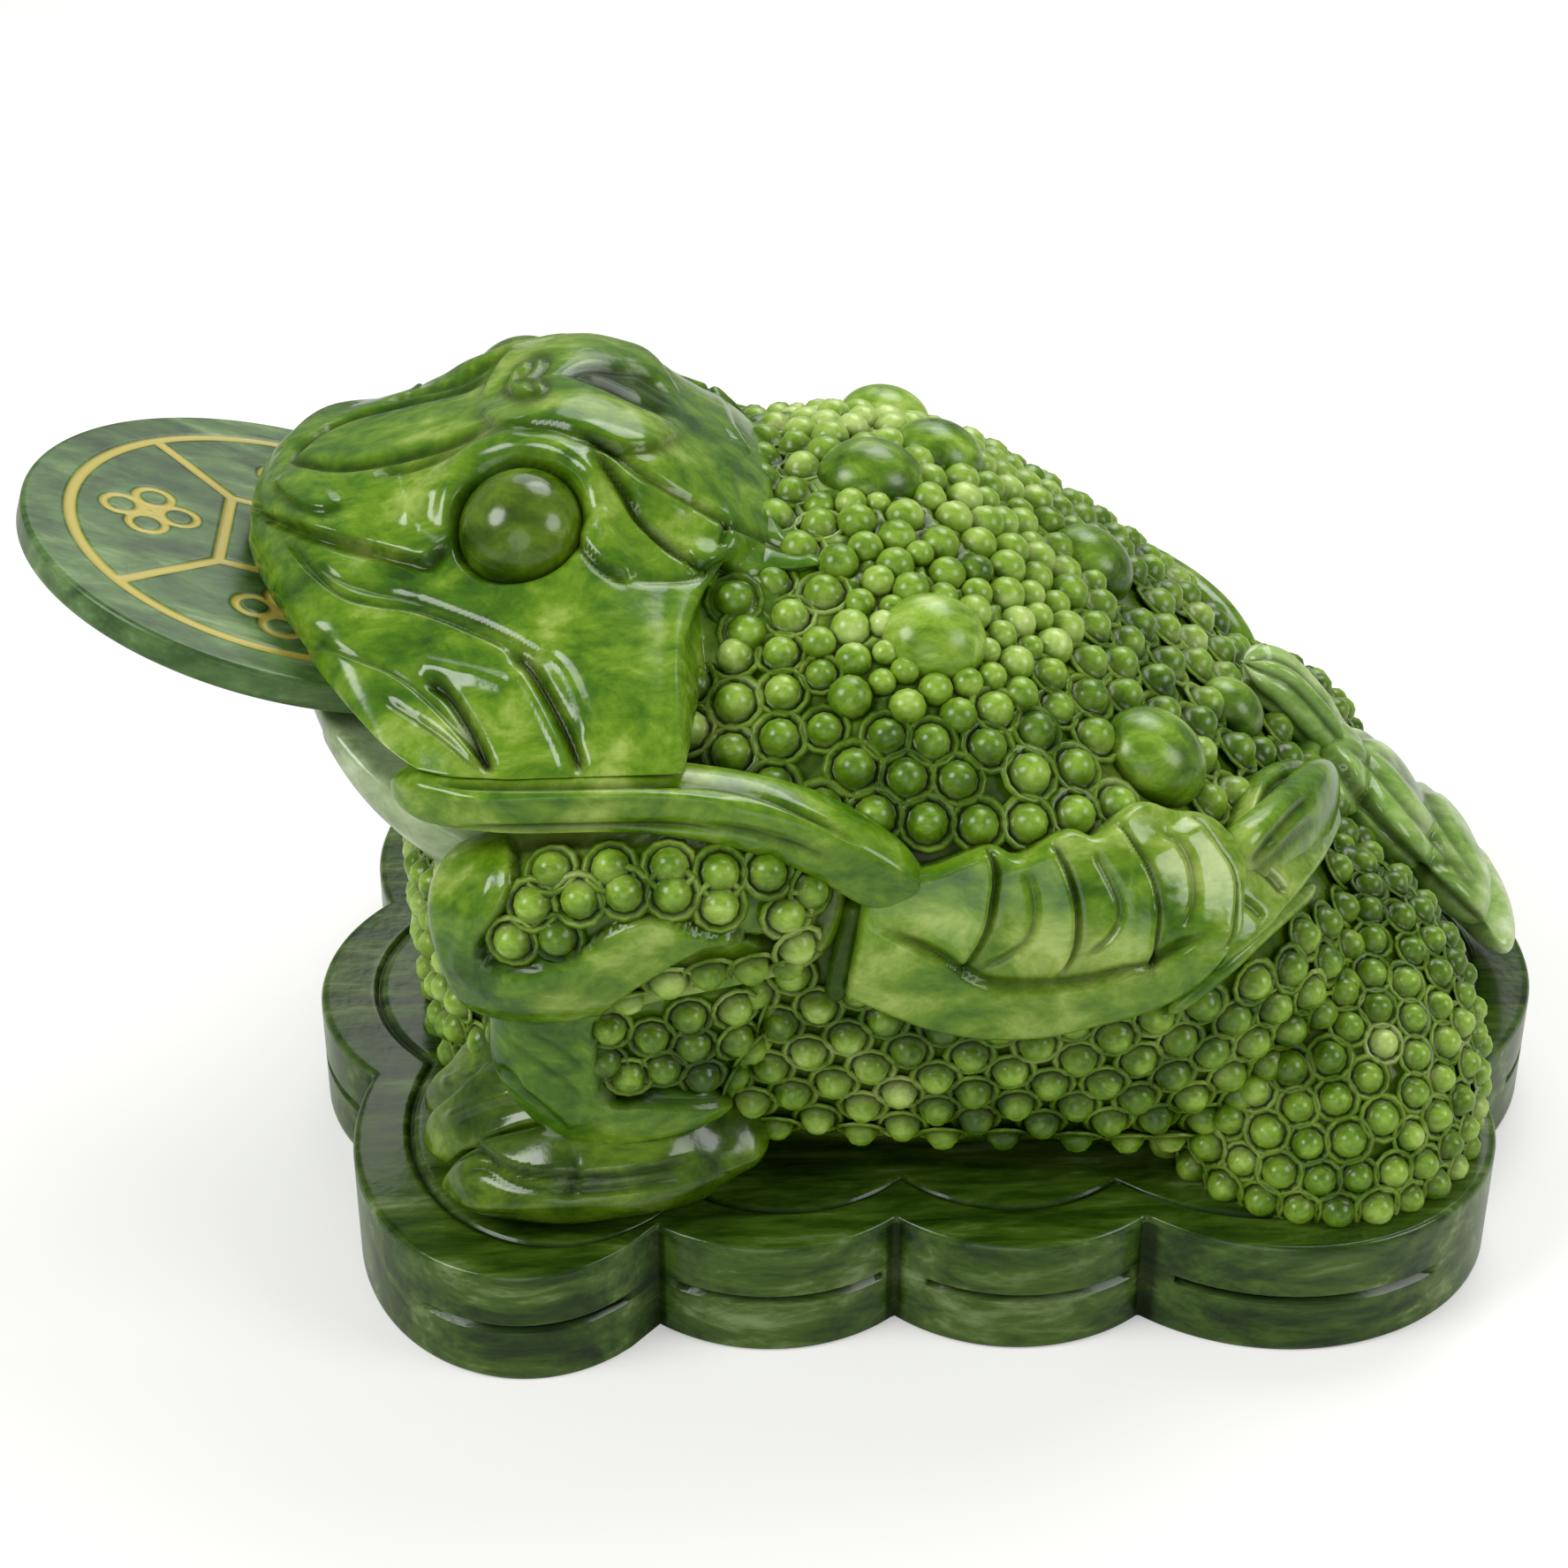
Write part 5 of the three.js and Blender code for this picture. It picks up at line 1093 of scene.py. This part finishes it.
# thigh: an upright egg that leans in to the trunk by a share of its height, covered in packed beads
def thighPieces():
    shape = thighShape
    p = sphereGrid(shape["center"], shape["radii"], *shape["grid"])
    p[..., 1] += shape["lean"] * (p[..., 2] - shape["center"][2])
    n = gridNormals(p)
    flat, out = finerGrid(p).reshape(-1, 3), finerGrid(n).reshape(-1, 3)
    skin, skinOut = (grid[::shape["trunkStep"], ::shape["trunkStep"]].reshape(-1, 3) for grid in (trunk, trunkOut))
    depth = np.zeros(len(flat))
    for start in range(0, len(flat), chunk):  # height over the trunk's nearest spot
        part = flat[start:start + chunk]
        best = ((skin**2).sum(1) - 2 * part @ skin.T).argmin(1)
        depth[start:start + chunk] = ((part - skin[best]) * skinOut[best]).sum(1)
    usable = np.nonzero((flat[:, 2] > seat + shape["clear"]) & (depth > shape["overlap"]))[0]
    most = shape["mostSpread"]
    radii = shape["bead"] * (1 + shape["spread"] * rng.standard_normal(len(flat)).clip(-most, most))
    turn = np.arctan2(out[:, 1], out[:, 0]) * shape["rowTurn"]
    key = np.floor(flat[:, 2] / shape["rowHeight"]) + shape["rowTie"] * turn
    order = usable[np.argsort(key[usable], kind="stable")]
    kept = packBeads(flat, radii, np.full(len(flat), shape["gap"]), order, [])
    centers, normals, sizes = flat[kept], toUnit(out[kept]), radii[kept] * shape["dome"]
    print("thigh beads", len(kept))
    ground = p - n * shape["ground"]
    ground[..., 2] = np.maximum(ground[..., 2], seat)
    # painted shade over the whole ground between the thigh's beads
    makePair("ThighGround", "thigh", [gridBlock(ground, np.full(p.shape[:2], shape["shade"]))], beadJade)
    tints = beadTints(shape["tint"], shape["tintSpread"], len(kept))
    beads = beadBlock(centers - normals * shape["sink"], normals, sizes, tints)
    makePair("ThighBeads", None, [beads], beadJade)


thighPieces()

# coin string: its outline and carving in photo pixels, its rise in millimetres
stringRelief = {
    "lower": [(955, 1118), (994, 1134), (1048, 1154), (1111, 1164), (1175, 1162), (1229, 1151), (1285, 1137),
              (1332, 1116), (1368, 1090), (1392, 1058)],
    "upper": [(975, 1015), (1010, 985), (1060, 975), (1116, 954), (1150, 964), (1200, 938), (1232, 945), (1274, 912),
              (1312, 920), (1348, 926), (1376, 950), (1394, 985)],
    "rise": [(0, 4.0), (0.5, 4.4), (1, 4.2)], "edge": 2.2, "sink": 1.2, "passes": 8, "grid": (190, 80), "tint": 0.85,
    "strokes": [
        ("fold", 1.5, 0.8, [(981, 1050), (1019, 1064), (1069, 1085), (1100, 1106), (1132, 1116), (1196, 1116),
                            (1250, 1107), (1301, 1090), (1343, 1069), (1381, 1048)], 1, 6.0),
        ("fold", 2.1, 0.7, [(1111, 950), (1122, 981), (1120, 1019), (1111, 1057), (1082, 1103)], 1, 5.0),
        ("groove", 0.6, 0.6, [(1158, 981), (1170, 1019), (1166, 1057), (1141, 1082), (1103, 1099)]),
        ("fold", 2.1, 0.7, [(1183, 945), (1204, 989), (1215, 1031), (1212, 1074), (1191, 1111)], 1, 5.0),
        ("groove", 0.6, 0.6, [(1234, 960), (1255, 998), (1267, 1031), (1255, 1061), (1225, 1086)]),
        ("fold", 2.1, 0.7, [(1255, 922), (1284, 968), (1303, 1010), (1305, 1057), (1295, 1111)], 1, 5.0),
        ("groove", 0.6, 0.6, [(1313, 935), (1339, 968), (1349, 1002), (1347, 1031), (1335, 1053)]),
        ("fold", 2.1, 0.7, [(1343, 918), (1372, 960), (1391, 994), (1391, 1040), (1383, 1082)], 1, 6.0),
    ],
}
# the ribbon that fans out between the last coin and the thigh
ribbonRelief = {
    "lower": [(1372, 1100), (1410, 1072), (1450, 1030), (1485, 985), (1508, 940)],
    "upper": [(1372, 985), (1395, 930), (1412, 882), (1452, 864), (1500, 890)],
    "rise": [(0, 2.6), (0.5, 3.6), (1, 2.6)], "edge": 2.4, "sink": 1.2, "passes": 8, "grid": (110, 70), "tint": 1.0,
    "strokes": [
        ("fold", 1.5, 0.9, [(1475, 877), (1445, 892), (1426, 928), (1418, 961), (1434, 972)], -1, 4.0),
        ("groove", 0.9, 0.8, [(1392, 958), (1420, 976), (1440, 992), (1458, 1014)]),
        ("groove", 0.6, 0.7, [(1388, 1010), (1412, 1022), (1432, 1040)]),
        ("groove", 0.6, 0.7, [(1450, 965), (1470, 938), (1488, 912)]),
    ],
}
# the ribbon's end lobe and its cord as limb rows, and the bar where the string begins in photo pixels
stringShape = {
    "lobe": [(34, -57.5, 66.5, 7, 15), (43, -48.5, 67, 8, 15), (51, -36.5, 65, 8, 15), (57.5, -22, 60, 6, 12)],
    "lobeGrid": (70, 56), "lobePower": 2.4, "lobeBlunt": 0.2, "lobeTint": 1.0,
    "lobeStrokes": [
        ("groove", 0.9, 0.9, [(1415, 985), (1445, 945), (1470, 915), (1490, 900)]),
        ("groove", 0.7, 0.8, [(1395, 1010), (1430, 985), (1465, 950), (1492, 925)]),
    ],
    "cord": [(51, -46, 58.5, 2.6, 2.6), (42, -57.5, 60, 3, 3), (34, -64.5, 57.5, 3, 3), (26, -68, 52.5, 2.6, 2.6)],
    "cordGrid": (60, 20), "cordTint": 0.9,
    "bar": [(969, 1018), (957, 1072),
            (944, 1132)], "barWidth": 3.4, "barGrid": (40, 24), "barShade": 0.55, "barTint": 0.2,
    # the far string lies lower, as nothing of it shows over the back
    "farShift": (0.0, 2.6, -9.0),
}


# string of coins: two carved plates, a lobe, a cord and a bar; the far side's copy is moved by a fixed step
def stringPieces():
    shape = stringShape
    lobe = limbGrid(shape["lobe"], upZ, *shape["lobeGrid"], shape["lobePower"], shape["lobeBlunt"])
    lobe, lobePaintedShade = carve(lobe, gridNormals(lobe), shape["lobeStrokes"])
    cord = limbGrid(shape["cord"], upZ, *shape["cordGrid"])
    spots = castOnGrid(trunk, trunkOut, shape["bar"])[0]
    bar = limbGrid(np.concatenate([spots, np.full((len(spots), 2), shape["barWidth"])], 1), upY, *shape["barGrid"])
    # painted shade in the plates' and lobe's chisel lines, and over the whole bar
    blocks = [carvedRelief(stringRelief), carvedRelief(ribbonRelief), gridBlock(lobe, lobePaintedShade, shape["lobeTint"]),
              gridBlock(cord, None, shape["cordTint"]),
              gridBlock(bar, np.full(bar.shape[:2], shape["barShade"]), shape["barTint"])]
    makePiece("leftStringCarved", blocks, jade, replaced=("left_coin_string",))
    far = [mirrorBlock(block) for block in blocks]
    for block in far:
        block["verts"] = block["verts"] + shape["farShift"]
    makePiece("rightStringCarved", far, jade, replaced=("right_coin_string",))


stringPieces()

# third leg: limb rows in millimetres, the scallops of its edge and how far they cut and wave it, and its strokes
tailShape = {
    "rows": [(56, 0, 57, 26, 12), (68, 0, 48.5, 30, 13), (82, 0, 36, 34, 12.4), (95.5, 0, 21, 34, 8)],
    "grid": (150, 120), "power": 1.9, "scallops": 5.5, "scallopPower": 0.6, "cut": 0.24, "cutFrom": 0.2, "cutRun": 0.5,
    "wave": 1.7, "waveFrom": 0.1, "waveRun": 0.4,
    "strokes": [
        ("fold", 1.5, 0.9, [(1500, 840), (1530, 885), (1560, 925), (1591, 958), (1637, 1003), (1695, 1058)], -1, 5.0),
        ("groove", 0.8, 0.8, [(1512, 832), (1550, 870), (1590, 915), (1630, 965), (1675, 1020)]),
        ("groove", 0.7, 0.7, [(1530, 830), (1575, 862), (1612, 905), (1645, 955), (1680, 1010)]),
        ("groove", 0.6, 0.7, [(1590, 872), (1618, 900), (1640, 935)]),
        ("groove", 0.6, 0.7, [(1600, 985), (1622, 978), (1640, 982)]),
    ],
}


# third leg: a leaf-shaped plate, drawn in at its edge and waved across its top by the dips between |sin|^power
def tailPieces():
    shape = tailShape
    p = limbGrid(shape["rows"], upZ, *shape["grid"], shape["power"])
    n = gridNormals(p)
    dip = 1 - np.abs(np.sin(np.linspace(0, 1, len(p))[:, None] * np.pi * shape["scallops"])) ** shape["scallopPower"]
    edge = np.abs(p[..., 1]) / np.maximum(np.abs(p[..., 1]).max(1, keepdims=True), 1e-6)
    middle = p.mean(1, keepdims=True)
    cut = shape["cut"] * ramp((edge - shape["cutFrom"]) / shape["cutRun"]) * dip
    wave = shape["wave"] * dip * ramp((n[..., 2] - shape["waveFrom"]) / shape["waveRun"])
    p = middle + (p - middle) * (1 - cut)[..., None] - n * wave[..., None]
    p, paintedShade = carve(p, n, shape["strokes"])
    makePiece("tailLegCarved", [gridBlock(p, paintedShade)], paleJade, replaced=("tail_leg",))


tailPieces()

# ribbon knot: limb rows in millimetres, and its pleats
knotShape = {
    "rows": [(49, 0, 70.5, 9, 6), (54, 0, 67.5, 11, 8), (59, 0, 62, 11, 8), (64.5, 0, 55, 8, 6)],
    "grid": (80, 72), "power": 2.6, "blunt": 0.16, "pleats": 7, "pleat": 0.45, "pleatRun": 6, "tint": 0.4,
    "shade": 1.9, "shadeFrom": 0.15,
}


# ribbon knot: a band over the root of the third leg with cosine pleats along it that die out at its underside
def knotPieces():
    shape = knotShape
    p = limbGrid(shape["rows"], upZ, *shape["grid"], shape["power"], shape["blunt"])
    high = ramp((p[..., 2] - p[..., 2].min()) / shape["pleatRun"])
    pleat = shape["pleat"] * np.cos(circle(p.shape[1]) * shape["pleats"]) * high
    # painted shade in the troughs of the pleats
    paintedShade = np.clip(-shape["shade"] * pleat - shape["shadeFrom"], 0, 1)
    p = p + gridNormals(p) * pleat[..., None]
    makePiece("tailKnotCarved", [gridBlock(p, paintedShade, shape["tint"])], paleJade, replaced=("tail_knot",))


knotPieces()

# coin in millimetres: a thick disc with gilded engraved lines, a ring, a square and four spokes with a sprig in each
# field; petals and bud are drawn thinner than the other lines
coinShape = {
    "place": (-98.3, 0.0, 93.93), "tilt": 17.3, "radius": 40.6, "thick": 4.6, "rows": 110, "around": 420,
    "bevel": 0.9, "bevelStart": 0.15, "bevelRows": 8, "plainRim": 1.5,
    "ring": 33.5, "square": 10.6, "line": 1.7, "depth": 0.35, "wall": 0.5, "noLine": 9.0,
    "sprig": 21.8, "petalOut": 4.3, "petal": 2.7, "petalThin": 0.25, "bud": 0.9, "budThin": 0.1,
}


# distance from each spot of the coin's face to the edge of the nearest gilded line, below 0 on the line.
# a sprig is four round petals about a small bud, turned to each quarter
def giltDistance(a, b):
    shape = coinShape
    r, m, k = np.hypot(a, b), np.abs(a), np.abs(b)
    ring, square = np.abs(r - shape["ring"]), np.abs(np.maximum(m, k) - shape["square"])
    onSpoke = ((m + k) / 2 > shape["square"]) & (r < shape["ring"])
    spoke = np.where(onSpoke, np.abs(m - k) / math.sqrt(2), shape["noLine"])
    quarter = np.round(np.arctan2(b, a) / (np.pi / 2)) * np.pi / 2
    s = a * np.cos(quarter) + b * np.sin(quarter) - shape["sprig"]
    t = -a * np.sin(quarter) + b * np.cos(quarter)
    petals = [np.hypot(s - shape["petalOut"] * x, t - shape["petalOut"] * y) - shape["petal"]
              for x, y in ((1, 0), (-1, 0), (0, 1), (0, -1))]
    petal = np.abs(petals).min(0) + shape["petalThin"]
    bud = np.abs(np.hypot(s, t) - shape["bud"]) + shape["budThin"]
    return np.minimum.reduce([ring, square, spoke, petal, bud]) - shape["line"] / 2


# coin: a disc with quarter-round edges, sunk along its gilded lines, turned by its tilt about y
def coinPiece():
    shape = coinShape
    radius, bevel, half = shape["radius"], shape["bevel"], shape["thick"] / 2
    edge = np.linspace(shape["bevelStart"], 1, shape["bevelRows"]) * np.pi / 2
    r = np.concatenate([np.linspace(0, radius - bevel, shape["rows"]), radius - bevel * (1 - np.sin(edge))])[:, None]
    lift = np.concatenate([np.full(shape["rows"], half), half - bevel * (1 - np.cos(edge))])[:, None]
    turn = circle(shape["around"])
    a, b = r * np.cos(turn), r * np.sin(turn)
    gilt = giltDistance(a, b)
    cut = np.where(r < radius - shape["plainRim"], shape["depth"] * ramp(0.5 - gilt / shape["wall"]), 0)
    face, back = np.stack([a, b, lift - cut], -1), np.stack([a, b, 0 * a - lift], -1)[::-1]
    local = np.concatenate([face, back])
    tilt = math.radians(shape["tilt"])
    x = local[..., 0] * math.cos(tilt) + local[..., 2] * math.sin(tilt)
    z = -local[..., 0] * math.sin(tilt) + local[..., 2] * math.cos(tilt)
    block = gridBlock(np.stack([x, local[..., 1], z], -1) + shape["place"])
    block["gilt"] = np.concatenate([gilt, np.full(gilt.shape, shape["noLine"])]).ravel()
    makePiece("coinEngraved", [block], coinJade, body="coin", replaced=("coin",))


# coin finish: the same stone, with gold leaf rubbed into the engraved lines
def coinMaterial():
    material = serpentine("serpentine_jade_gilded", coinLook)
    tree, edge = material.node_tree, coinLook["leafEdge"]
    shader = next(n for n in tree.nodes if n.type == "BSDF_PRINCIPLED")
    stone = shader.inputs["Base Color"].links[0].from_socket
    gilt = addNode(tree, "ShaderNodeAttribute", {"attribute_name": "gilt"})
    leaf = addNode(tree, "ShaderNodeMapRange", values={"From Min": edge, "From Max": -edge},
                   links={"Value": (gilt, "Fac")})
    colour = addNode(tree, "ShaderNodeMix", {"data_type": "RGBA"}, {"B": hexColour(coinLook["gold"])},
                     {"Factor": (leaf, "Result")})
    tree.links.new(stone, colour.inputs["A"])
    tree.links.new(colour.outputs["Result"], shader.inputs["Base Color"])
    return material


coinJade = coinMaterial()
coinPiece()

# camera, floor and soft lights: lengths in metres, a lamp is its place, width and power
stageLook = {
    "sensor": 36.0, "clip": (0.01, 50.0), "aim": (0, 0, 0.06), "world": 0.32,
    "floor": "#d0d0cc", "floorSize": 6.0, "floorGlow": 0.36, "floorRough": 0.9,
    "lamps": [("keySoftbox", (-0.75, -0.3, 0.75), 0.5, 6.0), ("rightSoftbox", (0.75, -0.4, 0.6), 0.5, 3.4),
              ("topSoftbox", (0.3, 0.5, 1.0), 0.6, 4.6), ("backSoftbox", (0.1, 0.85, 0.9), 0.8, 3.2),
              ("frontSoftbox", (-0.2, -1.0, 0.35), 0.7, 1.8)],
}


# floor paper: its glow is for the camera's rays alone, so that it looks pale and keeps its shadow
def paperMaterial():
    look = stageLook
    paper, tree = newMaterial("backdrop_paper_white")
    path = addNode(tree, "ShaderNodeLightPath")
    lift = addNode(tree, "ShaderNodeMath", {"operation": "MULTIPLY"}, {1: look["floorGlow"]},
                   {0: (path, "Is Camera Ray")})
    values = {"Base Color": hexColour(look["floor"]), "Roughness": look["floorRough"], "Emission Color": (1, 1, 1, 1)}
    shader = addNode(tree, "ShaderNodeBsdfPrincipled", values=values, links={"Emission Strength": (lift, "Value")})
    addNode(tree, "ShaderNodeOutputMaterial", links={"Surface": (shader, "BSDF")})
    return paper


# stage: the camera stands at the photo's viewpoint with lens = sensor * focal / frame, and each lamp faces the aim
def stagePieces():
    look, scene = stageLook, bpy.context.scene
    camera = bpy.data.objects.new("photoCamera", bpy.data.cameras.new("photoCamera"))
    camera.data.sensor_width = look["sensor"]
    camera.data.lens = look["sensor"] * photoView["focal"] / photoView["frame"]
    camera.data.clip_start, camera.data.clip_end = look["clip"]
    camera.location = ((viewPlace + [0, 0, datum]) * mm).tolist()
    camera.rotation_euler = (-Vector(viewBack.tolist())).to_track_quat("-Z", "Y").to_euler()
    scene.collection.objects.link(camera)
    scene.camera = camera
    size = look["floorSize"]
    mesh = bpy.data.meshes.new("studioFloor")
    mesh.from_pydata([(-size, -size, 0), (size, -size, 0), (size, size, 0), (-size, size, 0)], [], [(0, 1, 2, 3)])
    mesh.materials.append(paperMaterial())
    floor = bpy.data.objects.new("studioFloor", mesh)
    scene.collection.objects.link(floor)
    world = bpy.data.worlds.new("studioWorld")
    world.use_nodes = True
    sky = world.node_tree.nodes["Background"]
    sky.inputs["Color"].default_value = (1, 1, 1, 1)
    sky.inputs["Strength"].default_value = look["world"]
    scene.world = world
    for name, place, width, power in look["lamps"]:
        lamp = bpy.data.lights.new(name, "AREA")
        lamp.shape, lamp.size, lamp.energy = "DISK", width, power
        holder = bpy.data.objects.new(name, lamp)
        holder.location = place
        holder.rotation_euler = (Vector(look["aim"]) - Vector(place)).to_track_quat("-Z", "Y").to_euler()
        scene.collection.objects.link(holder)
    scene.view_settings.view_transform = "Standard"
    print("camera, floor and lamps placed")


stagePieces()
